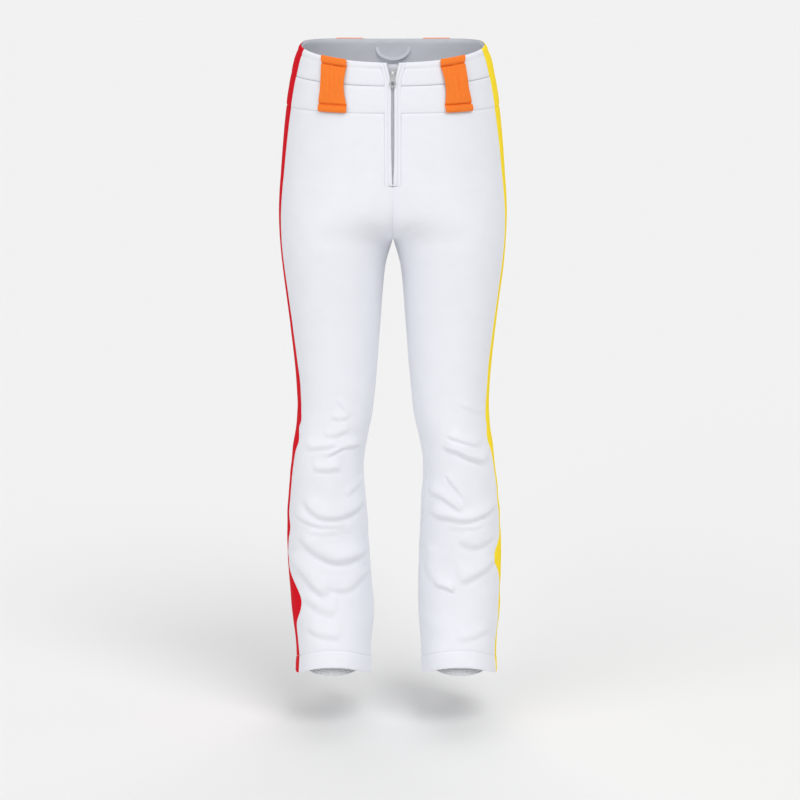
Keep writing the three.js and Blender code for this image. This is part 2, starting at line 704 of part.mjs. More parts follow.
// A press stud holds the guard's tab on the facing.
function snap() {
  const round = (profile, back) => {
    const points = profile.map(([r, h]) => new THREE.Vector2(r, h));
    const geometry = new THREE.LatheGeometry(points, 20);
    return geometry.translate(-SNAP_FROM_MIDDLE, back, -SNAP_DEPTH);
  };
  const stud = [
    [0, 0],
    [SNAP_RADIUS, 0],
    [SNAP_RADIUS, 0.9],
    [SNAP_RADIUS * 0.55, 1.2],
    [SNAP_RADIUS * 0.55, STUD_THICK],
    [0, STUD_THICK],
  ];
  add("waist_snap_stud", round(stud, STUD_FRONT), "metal", fly);
  const cap = [
    [0, 0],
    [SNAP_RADIUS, 0],
    [SNAP_RADIUS * 0.8, 1.1],
    [0, 1.4],
  ];
  add("waist_snap_cap", round(cap, GUARD_FRONT + GUARD + SEAM), "metal", fly);
}

// ---- Slider and pull tab --------------------------------------------------------------

const HINGE_BELOW_TOP = 6; // the pull's axis, below the top of the slider
const BAIL_RADIUS = 2.4;
const BAIL_HALF_WIDTH = 1.3;
const BAR = 1.2; // the pull's crossbar and its thickness
const BAR_CLEARANCE = 0.4;
const HINGE_Y = SLIDER_FRONT_PLATE - 2.1;
const HINGE_Z = -SLIDER_TOP - HINGE_BELOW_TOP;
const NECK_HALF_WIDTH = 1.2;
const NECK_LENGTH = 7;

function slider() {
  const half = SLIDER_WIDTH / 2;
  const shape = new THREE.Shape();
  shape.moveTo(-half + 1, 0);
  shape.lineTo(half - 1, 0);
  shape.quadraticCurveTo(half, 0, half, 2);
  shape.lineTo(half * 0.72, SLIDER_LENGTH - 1.5);
  shape.quadraticCurveTo(half * 0.7, SLIDER_LENGTH, half * 0.4, SLIDER_LENGTH);
  shape.lineTo(-half * 0.4, SLIDER_LENGTH);
  shape.quadraticCurveTo(-half * 0.7, SLIDER_LENGTH, -half * 0.72, SLIDER_LENGTH - 1.5);
  shape.lineTo(-half, 2);
  shape.quadraticCurveTo(-half, 0, -half + 1, 0);

  const front = SLIDER_FRONT_PLATE;
  const frontPlate = plate(shape, front, front + SLIDER_PLATE);
  const backPlate = plate(shape, SLIDER_BACK_PLATE, SLIDER_BACK_PLATE + SLIDER_PLATE);
  for (const piece of [frontPlate, backPlate]) piece.translate(0, 0, -SLIDER_TOP);

  const neckTop = -SLIDER_TOP;
  const neckFrom = front + SLIDER_PLATE / 2;
  const neckTo = SLIDER_BACK_PLATE + SLIDER_PLATE / 2;
  const neckSize = [-NECK_HALF_WIDTH, NECK_HALF_WIDTH, neckFrom, neckTo];
  const neck = box(...neckSize, neckTop - NECK_LENGTH, neckTop);

  const hole = new THREE.Path().absarc(0, 0, (BAR * Math.SQRT2) / 2 + BAR_CLEARANCE, 0, 2 * Math.PI, true);
  const arch = new THREE.Shape();
  const reach = front + SLIDER_PLATE / 2 - HINGE_Y;
  arch.moveTo(reach, -BAIL_RADIUS);
  arch.lineTo(reach, BAIL_RADIUS);
  arch.lineTo(0, BAIL_RADIUS);
  arch.absarc(0, 0, BAIL_RADIUS, Math.PI / 2, (3 * Math.PI) / 2, false);
  arch.holes.push(hole);
  const bail = new THREE.ExtrudeGeometry(arch, {
    depth: 2 * BAIL_HALF_WIDTH,
    bevelEnabled: false,
    curveSegments: 8,
  });
  bail.applyMatrix4(
    new THREE.Matrix4().makeBasis(
      new THREE.Vector3(0, 1, 0),
      new THREE.Vector3(0, 0, 1),
      new THREE.Vector3(1, 0, 0),
    ),
  );
  bail.translate(-BAIL_HALF_WIDTH, HINGE_Y, HINGE_Z);
  add("zip_slider", join(frontPlate, backPlate, neck, bail), "metal", fly);
}

const PULL_LENGTH = 16.4; // from the axis to the middle of the ring
const RING_RADIUS = 5.6;
const RING_HOLE = 3.2;
const ARM = 1.4;

function pullTab() {
  const slotHalf = BAIL_HALF_WIDTH + 0.6;
  const frameHalf = slotHalf + ARM;
  const slotEnd = BAIL_RADIUS + 3;
  const meet = Math.asin(frameHalf / RING_RADIUS);
  const shape = new THREE.Shape();
  shape.moveTo(-frameHalf, -BAR / 2);
  shape.lineTo(frameHalf, -BAR / 2);
  shape.lineTo(frameHalf, PULL_LENGTH - RING_RADIUS * Math.cos(meet));
  shape.absarc(0, PULL_LENGTH, RING_RADIUS, meet - Math.PI / 2, 1.5 * Math.PI - meet, false);
  shape.closePath();
  const slot = new THREE.Path();
  slot.moveTo(-slotHalf, BAR / 2);
  slot.lineTo(-slotHalf, slotEnd);
  slot.lineTo(slotHalf, slotEnd);
  slot.lineTo(slotHalf, BAR / 2);
  slot.closePath();
  const eye = new THREE.Path().absarc(0, PULL_LENGTH, RING_HOLE, 0, 2 * Math.PI, true);
  shape.holes.push(slot, eye);
  const tab = plate(shape, -BAR / 2, BAR / 2).translate(0, HINGE_Y, HINGE_Z);
  add("zip_pull_tab", tab, "metal", fly);
}

// ---- Hanger loop inside the back of the band -------------------------------------------

const HANGER_HALF = 26;
const HANGER_DROP = 22;
const HANGER_TAPE = 5;

function hangerLoop() {
  const inset = SHELL + LAYER + FACING + LAYER + 1;
  const topZ = topEdge(-Math.PI / 2) - 12;
  const point = (x, down) => {
    const z = topZ - down;
    return new THREE.Vector3(x, backAt(z) - inset - 1.5, z);
  };
  const path = new THREE.CatmullRomCurve3([
    point(-HANGER_HALF, 0),
    point(-HANGER_HALF * 0.9, HANGER_DROP * 0.5),
    point(0, HANGER_DROP),
    point(HANGER_HALF * 0.9, HANGER_DROP * 0.5),
    point(HANGER_HALF, 0),
  ]);
  const half = HANGER_TAPE / 2;
  const section = new THREE.Shape();
  section.moveTo(-0.5, -half);
  section.lineTo(0.5, -half);
  section.lineTo(0.5, half);
  section.lineTo(-0.5, half);
  const tape = new THREE.ExtrudeGeometry(section, {
    steps: 16,
    bevelEnabled: false,
    extrudePath: path,
  });
  add("hanger_loop", tape, "tape");
}

// ---- The whole garment --------------------------------------------------------------------

waistTiers();
waistFacing();
beltLoops();
flyPieces();
guard();
snap();
slider();
pullTab();
hangerLoop();
for (const which of sides) {
  waistStripe(which);
  seat(which);
  leg(which);
}

export default pants;
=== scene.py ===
# Softshell ski pants: the looks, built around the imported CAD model.
# Shape functions work in millimetres, as the CAD does, and make_mesh turns them into metres.

import math

import bpy
import numpy as np
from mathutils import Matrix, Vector


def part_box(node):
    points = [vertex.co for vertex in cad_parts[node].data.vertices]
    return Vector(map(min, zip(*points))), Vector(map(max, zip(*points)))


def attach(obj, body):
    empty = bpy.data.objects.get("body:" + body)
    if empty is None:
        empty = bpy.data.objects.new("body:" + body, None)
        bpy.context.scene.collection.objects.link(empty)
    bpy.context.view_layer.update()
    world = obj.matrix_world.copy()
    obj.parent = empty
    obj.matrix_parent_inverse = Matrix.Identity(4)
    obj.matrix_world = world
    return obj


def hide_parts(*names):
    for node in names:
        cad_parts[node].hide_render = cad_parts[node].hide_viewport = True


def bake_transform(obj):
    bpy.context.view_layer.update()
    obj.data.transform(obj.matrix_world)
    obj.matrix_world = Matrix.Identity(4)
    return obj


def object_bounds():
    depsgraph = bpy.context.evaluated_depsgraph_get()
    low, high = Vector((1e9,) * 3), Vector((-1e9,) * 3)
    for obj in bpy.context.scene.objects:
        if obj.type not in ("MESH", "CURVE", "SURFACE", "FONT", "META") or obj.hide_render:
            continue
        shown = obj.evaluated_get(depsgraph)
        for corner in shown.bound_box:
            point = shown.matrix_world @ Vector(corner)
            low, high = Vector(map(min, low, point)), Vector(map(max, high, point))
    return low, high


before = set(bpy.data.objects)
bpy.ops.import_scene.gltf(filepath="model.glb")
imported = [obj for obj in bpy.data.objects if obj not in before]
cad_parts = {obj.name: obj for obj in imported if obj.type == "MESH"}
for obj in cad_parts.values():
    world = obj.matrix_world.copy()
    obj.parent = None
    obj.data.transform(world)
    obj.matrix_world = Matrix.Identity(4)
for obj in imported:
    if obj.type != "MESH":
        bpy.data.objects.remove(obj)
cad_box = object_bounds()

MM = 0.001
RIGHT, LEFT = -1, 1
SIDES = ((RIGHT, "right", "red"), (LEFT, "left", "yellow"))

# ---- Levels of the body and legs, the same as in the CAD ----

UPPER_BAND, LOWER_BAND, RISE, CROTCH_TO_KNEE, INSEAM = 37, 42, 285, 365, 735
SIDE_RISE, BACK_RISE, HEM_ARCH, HEM_HEEL_DROP = 28, 34, 32, 6
YOKE_LINE, CROTCH = -(UPPER_BAND + LOWER_BAND), -RISE
KNEE, HEM = CROTCH - CROTCH_TO_KNEE, CROTCH - INSEAM
SHELL, FACING = 1.6, 1.2
SQUARENESS = 2.2
STANCE = 5
SPLIT = -532  # each leg is made in two lengths that meet here, between the hip and knee folds


def share(start, end, part):
    return start + (end - start) * part


def smoothstep(x, low, high):
    t = np.clip((x - low) / (high - low), 0, 1)
    return t * t * (3 - 2 * t)


def bump_at(x, centre, width):
    """A soft bump of height 1."""
    return np.exp(-(((x - centre) / width) ** 2))


def unit(vectors):
    return vectors / np.linalg.norm(vectors, axis=-1, keepdims=True)


# (height, half width, front, back) above the crotch, then (height, centre, width, front, back) below.
HIP_LEVELS = (
    (SIDE_RISE, 147, 96.3, 90),
    (0, 158, 98, 97),
    (YOKE_LINE, 172, 102.7, 114),
    (share(YOKE_LINE, CROTCH, 0.5), 182, 109, 130),
    (share(YOKE_LINE, CROTCH, 0.78), 186, 108, 126),
    (CROTCH, 186, 100, 108),
)
LEG_LEVELS = (
    (share(CROTCH, KNEE, 0.12), 96.4, 168, 95, 93),
    (share(CROTCH, KNEE, 0.4), 94.3, 146, 85, 78),
    (share(CROTCH, KNEE, 0.73), 94.5, 126, 78, 62),
    (KNEE, 108, 118, 76, 54),
    (share(KNEE, HEM, 0.2), 110, 129, 70, 68),
    (share(KNEE, HEM, 0.48), 109, 138, 62, 86),
    (share(KNEE, HEM, 0.7), 106, 137, 64, 94),
    (share(KNEE, HEM, 0.86), 105, 128, 72, 99),
    (HEM, 106, 127, 82, 104),
)


def curve_through(points):
    """A smooth curve through (z, value) pairs listed from the top down."""
    z = np.array([p[0] for p in points], float)
    value = np.array([p[1] for p in points], float)
    before = np.maximum(np.arange(len(z)) - 1, 0)
    after = np.minimum(np.arange(len(z)) + 1, len(z) - 1)
    slope = (value[after] - value[before]) / (z[after] - z[before])

    def at(height):
        height = np.asarray(height, float)
        i = np.clip(np.searchsorted(-z, -height, side="right") - 1, 0, len(z) - 2)
        span = z[i + 1] - z[i]
        t = np.clip((height - z[i]) / span, 0, 1)
        a = (2 * t**3 - 3 * t**2 + 1) * value[i] + (t**3 - 2 * t**2 + t) * span * slope[i]
        return a + (3 * t**2 - 2 * t**3) * value[i + 1] + (t**3 - t**2) * span * slope[i + 1]

    return at


CROTCH_HALF = HIP_LEVELS[-1][1] / 2
CROTCH_LEVEL = (CROTCH, CROTCH_HALF + 0.15, 2 * CROTCH_HALF - 0.3)
front_at = curve_through([(p[0], p[-2]) for p in HIP_LEVELS + LEG_LEVELS])
back_at = curve_through([(p[0], p[-1]) for p in HIP_LEVELS + LEG_LEVELS])
hip_half_width_at = curve_through([p[:2] for p in HIP_LEVELS])
leg_centre_at = curve_through([CROTCH_LEVEL[:2]] + [(p[0], p[1]) for p in LEG_LEVELS])
leg_width_at = curve_through([(CROTCH, CROTCH_LEVEL[2])] + [(p[0], p[2]) for p in LEG_LEVELS])
LEGS_PART_FROM = share(CROTCH, 0, 0.42)
stripe_half_at = curve_through((
    (BACK_RISE, 38),
    (YOKE_LINE, 38),
    (CROTCH, 32),
    (share(CROTCH, KNEE, 0.75), 32),
    (KNEE, 20),
    (share(KNEE, HEM, 0.4), 20),
    (share(KNEE, HEM, 0.68), 56),
    (share(KNEE, HEM, 0.88), 24),
    (HEM - HEM_HEEL_DROP, 24),
))
HIP_KINK = 0.13  # how sharply the outline turns at the crotch's height
HIP_SOFT = 42  # and the length over which the cloth rounds that turn

# How much of each stripe shows from the front, down the side of the leg, as the folds turn it.
SHOWING = {
    RIGHT: (
        (-517, 7), (-560, 6.4), (-577, 7.4), (-589, 5.2), (-611, 7.8), (-630, 5), (-660, 3.4), (-722, 3),
        (-742, 3.6), (-760, 5.4), (-784, 3), (-818, 1.3), (-842, 4.4), (-876, 19), (-893, 18),
        (-930, 6.4), (-995, 5.6), (-1026, 6),
    ),
    LEFT: (
        (-517, 4.6), (-574, 5.2), (-585, 4.6), (-606, 6.2), (-634, 3), (-722, 2.2), (-776, 2.4),
        (-811, 10.8), (-837, 5.2), (-862, 2.4), (-919, 2.3), (-1026, 1.9),
    ),
}


def section_at(side, z):
    """Centre and half width across, middle and half depth front to back, at each height."""
    middle = (back_at(z) - front_at(z)) / 2
    half_depth = (back_at(z) + front_at(z)) / 2
    parted = np.clip((LEGS_PART_FROM - z) / (LEGS_PART_FROM - CROTCH), 0, 1)
    hip_centre = CROTCH_LEVEL[1] * parted**1.5
    standing = side * STANCE * smoothstep(-z, -KNEE, -HEM)
    low = z <= CROTCH
    centre = np.where(low, leg_centre_at(z) + standing, hip_centre)
    half_width = np.where(low, leg_width_at(z) / 2, hip_half_width_at(z) - hip_centre)
    softer = HIP_KINK / 2 * (np.hypot(z - CROTCH, HIP_SOFT) - np.abs(z - CROTCH)) / 2
    return centre - softer, half_width - softer, middle, half_depth


def signed_power(value, power):
    return np.sign(value) * np.abs(value) ** power


def body_point(side, angle, z):
    """The plain outer face: angle is 0 at the outer side, pi/2 at the front and pi at the inseam."""
    centre, half_width, middle, half_depth = section_at(side, z)
    across = signed_power(np.cos(angle), 2 / SQUARENESS)
    forward = signed_power(np.sin(angle), 2 / SQUARENESS)
    x = side * (centre + half_width * across)
    return np.stack(np.broadcast_arrays(x, middle - half_depth * forward, z), axis=-1)


def outward(side, angle, z):
    around = body_point(side, angle + 0.01, z) - body_point(side, angle - 0.01, z)
    up = body_point(side, angle, z + 1) - body_point(side, angle, z - 1)
    return unit(-side * np.cross(around, up))


def angle_forward(z, distance):
    """The angle at which the shell is this far in front of the section's widest line."""
    half_depth = (back_at(z) + front_at(z)) / 2
    return np.arcsin(signed_power(distance / half_depth, SQUARENESS / 2))


def angle_from_middle(side, z, distance):
    centre, half_width, _, _ = section_at(side, z)
    across = np.clip((distance - centre) / half_width, -1, 1)
    return np.arccos(signed_power(across, SQUARENESS / 2))


showing_at = {side: curve_through(points) for side, points in SHOWING.items()}
STRIPE_TURNS = (470, 530)  # depths between which the edges change from the CAD's to the shown ones


def stripe_front_at(side, z):
    """How far forward a stripe's front edge lies: as in the CAD above the knee, then by what shows."""
    _, half_width, _, half_depth = section_at(side, z)
    hidden = np.clip(1 - showing_at[side](z) / half_width, 0, 1) ** SQUARENESS
    turned = half_depth * (1 - hidden) ** (1 / SQUARENESS)
    return share(stripe_half_at(z), turned, smoothstep(-z, *STRIPE_TURNS))


CALM_STRIPE_HALF = curve_through((
    (CROTCH, 32), (share(CROTCH, KNEE, 0.75), 32), (KNEE, 26), (HEM - HEM_HEEL_DROP, 25),
))
STRIPE_SWAY = 0.5  # share of the front edge's sway that the rear edge follows


def stripe_back_at(side, z):
    """How far back a stripe's rear edge lies: below the knee it sways along with the front edge."""
    calm = CALM_STRIPE_HALF(z)
    swaying = calm - STRIPE_SWAY * (stripe_front_at(side, z) - calm)
    return share(stripe_half_at(z), swaying, smoothstep(-z, *STRIPE_TURNS))


INSEAM_TURN = {RIGHT: (22, 612, 634, 652, 676), LEFT: (37, 592, 630, 736, 778)}


def inseam_turn(side, z):
    """How far forward the inseam is turned at the knee."""
    most, start, full, fading, end = INSEAM_TURN[side]
    return most * smoothstep(-z, start, full) * (1 - smoothstep(-z, fading, end))


def round_line(at_front, side_rise, back_rise):
    linear, square = back_rise / 2, back_rise / 2 - side_rise

    def line(angle):
        forward = np.sin(angle)
        return at_front + side_rise - linear * forward + square * forward**2

    return line


top_edge = round_line(0, SIDE_RISE, BACK_RISE)
tunnel_seam = round_line(-UPPER_BAND, SIDE_RISE * 0.65, BACK_RISE * 0.7)
yoke_seam = round_line(YOKE_LINE, SIDE_RISE * 0.33, BACK_RISE * 0.4)


def hem_edge(angle):
    forward = np.sin(angle)
    linear = (HEM_ARCH + HEM_HEEL_DROP) / 2
    return HEM + linear * forward + (HEM_ARCH - HEM_HEEL_DROP) / 2 * forward**2


# ---- Folds in the fabric ----
# Each fold is a soft ridge with a furrow under it, along a curve through (x, z) points in
# millimetres, seen from the front or the back: (points, width, height).

FRONT_FOLDS = {
    RIGHT: (
        (((-10, -262), (-34, -243), (-62, -236)), 7, 2.2),
        (((-6, -240), (-24, -222), (-44, -214)), 6, 1.2),
        (((-150, -250), (-128, -282), (-96, -300)), 16, 1.2),
        (((-90, -535), (-79, -550), (-66, -564)), 3.5, 1.3),
        (((-101, -565), (-87, -567), (-70, -564)), 4, 2.0),
        (((-111, -597), (-91, -593), (-70, -585)), 5, 2.4),
        (((-142, -617), (-117, -615), (-91, -609)), 4.5, 2.8),
        (((-112, -631), (-91, -620), (-72, -615), (-52, -616)), 4.5, 3.0),
        (((-131, -650), (-108, -651), (-84, -649)), 5, 3.0),
        (((-78, -697), (-64, -687), (-48, -674)), 4, 1.7),
        (((-148, -700), (-132, -720), (-112, -731), (-88, -731), (-66, -722), (-44, -706)), 8, 4.4),
        (((-163, -730), (-137, -742), (-104, -748), (-70, -746)), 5, 2.4),
        (((-144, -758), (-104, -760), (-64, -754)), 4, 1.4),
        (((-154, -763), (-127, -785), (-98, -803), (-72, -805), (-38, -792)), 10, 5.0),
        (((-172, -799), (-153, -823), (-130, -846), (-106, -865)), 11, 5.4),
        (((-106, -849), (-79, -856), (-59, -846), (-42, -830)), 8, 2.8),
        (((-142, -868), (-117, -886), (-92, -892)), 12, 2.8),
        (((-142, -925), (-117, -932), (-86, -936)), 8, 2.8),
    ),
    LEFT: (
        (((10, -264), (32, -248), (52, -244)), 7, 1.8),
        (((150, -255), (124, -286), (96, -302)), 16, 1.1),
        (((106, -544), (128, -555), (150, -565)), 2.6, 1.9),
        (((87, -596), (115, -604), (144, -614)), 4.5, 3.0),
        (((80, -614), (109, -621), (132, -633), (156, -644)), 6.5, 4.8),
        (((86, -662), (102, -682), (119, -703)), 3.5, 1.9),
        (((57, -690), (86, -702), (116, -722)), 6, 3.2),
        (((56, -727), (83, -732), (119, -736), (146, -730), (172, -714)), 6, 4.0),
        (((88, -750), (122, -752), (149, -748)), 4, 1.4),
        (((107, -769), (138, -780), (166, -765)), 9, 3.0),
        (((62, -786), (61, -823), (67, -850)), 9, 2.2),
        (((108, -842), (138, -830), (168, -804)), 9, 3.8),
        (((68, -850), (86, -853), (102, -858)), 4.5, 3.8),
        (((104, -938), (138, -934), (159, -925)), 7, 2.4),
    ),
}
BACK_FOLDS = (
    (((20, -262), (62, -284), (120, -282)), 9, 3.4),
    (((34, -300), (80, -316), (140, -302)), 10, 2.4),
    (((60, -352), (96, -360), (130, -350)), 12, 1.4),
    (((52, -596), (92, -606), (136, -590)), 8, 2.2),
    (((54, -622), (100, -634), (156, -620)), 7, 3.4),
    (((58, -652), (110, -660), (160, -642)), 7, 4.0),
    (((52, -676), (96, -690), (150, -684)), 7, 3.0),
    (((62, -714), (110, -718), (166, -700)), 9, 2.6),
    (((60, -776), (108, -800), (160, -790)), 13, 2.6),
    (((66, -868), (112, -890), (158, -872)), 14, 3.0),
    (((60, -950), (108, -962), (150, -948)), 9, 2.2),
)
HEM_STITCH = 28  # the hem's stitching, above its edge
HEM_FURROW, HEM_SWELL = 0.8, 0.45  # how deep the cloth dips along it, and swells below it
FOLD_ENDS = 0.2  # share of a fold's length over which it fades at each end
FOLD_REACH = 5  # how many widths from its line a fold is still felt
RIDGE_ABOVE, RIDGE_BELOW = 2.2, 0.8  # widths over which a ridge falls off, above and below its line
FURROW_AT, FURROW_WIDTH, FURROW_DEPTH = 1.3, 0.5, 0.5


def smooth_path(points, count=24):
    """A Catmull-Rom curve through a few points."""
    p = np.array([points[0], *points, points[-1]], float)
    spans = len(points) - 1
    t = np.linspace(0, spans - 1e-9, count)
    i = t.astype(int)
    f = (t - i)[:, None]
    a, b, c, d = p[i], p[i + 1], p[i + 2], p[i + 3]
    square, cube = 2 * a - 5 * b + 4 * c - d, 3 * b - a - 3 * c + d
    return 0.5 * (2 * b + (c - a) * f + square * f**2 + cube * f**3)


def fold_height(x, z, points, width, height):
    """How far one fold lifts the fabric at (x, z)."""
    path = smooth_path(points)
    if path[0, 0] > path[-1, 0]:
        path = path[::-1]
    best = np.full(x.shape, 1e9)
    above = np.zeros(x.shape)
    along = np.zeros(x.shape)
    for i in range(len(path) - 1):
        start, step = path[i], path[i + 1] - path[i]
        t = np.clip(((x - start[0]) * step[0] + (z - start[1]) * step[1]) / (step @ step), 0, 1)
        dx, dz = x - start[0] - t * step[0], z - start[1] - t * step[1]
        distance = np.hypot(dx, dz)
        closer = distance < best
        best = np.where(closer, distance, best)
        side = np.sign(step[0] * dz - step[1] * dx)
        above = np.where(closer, side * distance, above)
        along = np.where(closer, (i + t) / (len(path) - 1), along)
    fade = smoothstep(along, 0, FOLD_ENDS) * smoothstep(1 - along, 0, FOLD_ENDS)
    across = above / width + 0.3 * value_noise(x, z, 2.6 * width, width)
    ridge = bump_at(across, 0, np.where(across > 0, RIDGE_ABOVE, RIDGE_BELOW))
    return height * fade * (ridge - FURROW_DEPTH * bump_at(across, -FURROW_AT, FURROW_WIDTH))


def value_noise(x, y, cell, seed):
    """Smooth noise from -1 to 1 with features about cell apart."""
    def lattice(i, j):
        h = np.sin(i * 127.1 + j * 311.7 + seed * 74.7) * 43758.5453
        return 2 * (h - np.floor(h)) - 1

    u, v = x / cell, y / cell
    i, j = np.floor(u), np.floor(v)
    f, g = u - i, v - j
    f, g = f * f * (3 - 2 * f), g * g * (3 - 2 * g)
    low = share(lattice(i, j), lattice(i + 1, j), f)
    high = share(lattice(i, j + 1), lattice(i + 1, j + 1), f)
    return share(low, high, g)


def back_folds(side):
    """The folds behind a leg: the right leg's are the left leg's, mirrored and a little lower."""
    if side == LEFT:
        return BACK_FOLDS
    return [([(-x, z - 7) for x, z in points], *size) for points, *size in BACK_FOLDS]


def lift(side, angle, z):
    """How far the worn fabric stands off the plain body shape, in millimetres."""
    at = body_point(side, angle, z)
    x, forward = at[..., 0], np.sin(angle)
    facing = smoothstep(forward, 0.08, 0.5)
    behind = smoothstep(-forward, 0.08, 0.5)
    total = np.zeros(x.shape)
    for mask, folds in ((facing, FRONT_FOLDS[side]), (behind, back_folds(side))):
        for points, width, height in folds:
            heights = [pz for _, pz in points]
            reach = FOLD_REACH * width
            near = (z > min(heights) - reach) & (z < max(heights) + reach) & (mask > 0)
            if near.any():
                total[near] += mask[near] * fold_height(x[near], z[near], points, width, height)
    over_hem = z - hem_edge(angle) - HEM_STITCH
    total -= HEM_FURROW * bump_at(over_hem, 0, 1.5) - HEM_SWELL * bump_at(over_hem, -12, 9)
    slack = smoothstep(-z, 520, 600) * (1 - 0.5 * smoothstep(-z, 940, 1000))
    around = x + 0.8 * at[..., 1]
    soft = value_noise(around, z * 0.8, 46, 3 + side) + 0.5 * value_noise(around, z, 23, 9 + side)
    calm_at_middle = smoothstep(np.abs(x), 0, 14)
    total += soft * (0.35 + slack) * smoothstep(-z, 90, 200) * calm_at_middle
    return total


def shell_point(side, angle, z, inset=0.0):
    """A point of the worn shell, inset below its outer face."""
    angle, z = np.broadcast_arrays(np.asarray(angle, float), np.asarray(z, float))
    stand = lift(side, angle, z) - inset
    return body_point(side, angle, z) + outward(side, angle, z) * stand[..., None]


# ---- Meshes ----


def make_mesh(name, vertices, faces, materials, uv=None, which=None, normals=None, flat=None):
    """A Blender object from points in millimetres. which gives each face's material, normals each
    point's shading normal, and flat marks the faces that keep their own normal."""
    vertices = np.asarray(vertices, float)
    mesh = bpy.data.meshes.new(name)
    mesh.from_pydata((vertices * MM).tolist(), [], [list(map(int, f)) for f in faces])
    for material in materials:
        mesh.materials.append(material)
    if which is not None:
        mesh.polygons.foreach_set("material_index", np.asarray(which, np.int32))
    corner = np.zeros(len(mesh.loops), np.int32)
    mesh.loops.foreach_get("vertex_index", corner)
    if uv is not None:
        layer = mesh.uv_layers.new(name="cloth")
        layer.data.foreach_set("uv", (np.asarray(uv)[corner] * MM).astype(np.float32).ravel())
    smooth = np.ones(len(mesh.polygons), bool) if flat is None else ~flat
    mesh.polygons.foreach_set("use_smooth", smooth)
    mesh.update()
    if normals is not None:
        own = np.zeros(len(mesh.polygons) * 3, np.float32)
        mesh.polygons.foreach_get("normal", own)
        counts = np.zeros(len(mesh.polygons), np.int32)
        mesh.polygons.foreach_get("loop_total", counts)
        face_of_corner = np.repeat(np.arange(len(counts)), counts)
        flat_normals = own.reshape(-1, 3)[face_of_corner]
        shading = np.where(smooth[face_of_corner, None], normals[corner], flat_normals)
        mesh.normals_split_custom_set(shading.tolist())
    obj = bpy.data.objects.new(name, mesh)
    bpy.context.scene.collection.objects.link(obj)
    return obj


def lengths(points, axis):
    """Distance from the first row or column, along the grid."""
    step = np.linalg.norm(np.diff(points, axis=axis), axis=-1)
    zero = np.zeros_like(np.take(step, [0], axis=axis))
    return np.cumsum(np.concatenate([zero, step], axis=axis), axis=axis)


def grid_normals(points, ring):
    if ring:
        across = np.roll(points, -1, axis=1) - np.roll(points, 1, axis=1)
    else:
        across = np.gradient(points, axis=1)
    normal = np.cross(across, np.gradient(points, axis=0))
    return normal / np.maximum(np.linalg.norm(normal, axis=-1, keepdims=True), 1e-9)


MIDDLE_REACH = 0.6  # cloth this close to the middle plane stays in it, so both sides' edges meet there
SEAM_REACH = 1.5  # how far from a sewn edge the cloth starts to roll in
SEAM_STEPS = np.array([0, 0.7, 1.5, 2.6, 4.2])  # distances of the grid's lines from a seam
PANEL_SPACING, BAND_SPACING, BAND_ROW_SPACING = 4.2, 3.6, 2.2  # and those of its other lines, apart


def cloth(name, points, materials, facing, thick=SHELL, seams="", roll=1.1, ring=False, rows=None):
    """A piece of fabric over a grid of outer points, whose rows go down. facing is 1 where the grid's
    own normal points out and -1 where it points in. seams names the sewn edges (t, b, l, r), where
    the fabric rolls in and leaves a furrow. rows keeps only a first to last row of the grid."""
    normal = facing * grid_normals(points, ring)
    in_middle = np.abs(points[..., 0]) < MIDDLE_REACH
    normal[..., 0] = np.where(in_middle, 0, normal[..., 0])
    normal = unit(normal)
    across, down = lengths(points, 1), lengths(points, 0)
    edges = {"l": across, "r": across[:, -1:] - across, "t": down, "b": down[-1:] - down}
    edge = np.min([np.full(across.shape, 1e9), *[edges[s] for s in seams]], axis=0)
    outer = points - normal * (roll * np.exp(-((edge / SEAM_REACH) ** 1.5)))[..., None]
    inner = points - normal * thick
    shading = np.stack([facing * grid_normals(outer, ring), -normal])
    kept = slice(rows[0], rows[1] + 1) if rows else slice(None)
    both = np.stack([outer, inner])[:, kept]
    shading = shading[:, kept].reshape(-1, 3)
    uv = np.tile(np.stack([across, down], axis=-1)[kept].reshape(-1, 2), (2, 1))
    height, width = both.shape[1:3]
    count = height * width
    index = np.arange(count).reshape(height, width)
    if ring:
        index = np.concatenate([index, index[:, :1]], axis=1)
    a, b, c, d = index[:-1, :-1], index[1:, :-1], index[1:, 1:], index[:-1, 1:]
    front = np.stack([a, b, c, d], axis=-1).reshape(-1, 4)

    def wall(line):
        return np.stack([line[:-1], line[1:], line[1:] + count, line[:-1] + count], axis=-1)

    walls = [wall(index[0]), wall(index[-1])[:, ::-1]]
    if not ring:
        walls += [wall(index[:, 0])[:, ::-1], wall(index[:, -1])]
    faces = np.concatenate([front, front[:, ::-1] + count, *walls])
    if facing > 0:
        faces = faces[:, ::-1]
    which = np.zeros(len(faces), int)
    which[len(front):2 * len(front)] = len(materials) - 1
    flat = np.arange(len(faces)) >= 2 * len(front)
    return make_mesh(name, both.reshape(-1, 3), faces, materials, uv, which, shading, flat)


def shares_across(width, spacing):
    """Shares across a piece of cloth: close together at its edges, where the seams are."""
    close = SEAM_STEPS / width
    inside = np.linspace(close[-1], 1 - close[-1], int(width / spacing))
    return np.concatenate([close[:-1], inside, 1 - close[:-1][::-1]])


def settle(angle_of, line, start):
    """The height of a seam line at a column of points whose angle changes with the height."""
    z = start
    for _ in range(8):
        z = line(angle_of(z))
    return z


NO_BAR_RUNS_THIS_WAY = np.array([0.31, 0.27, 0.91])


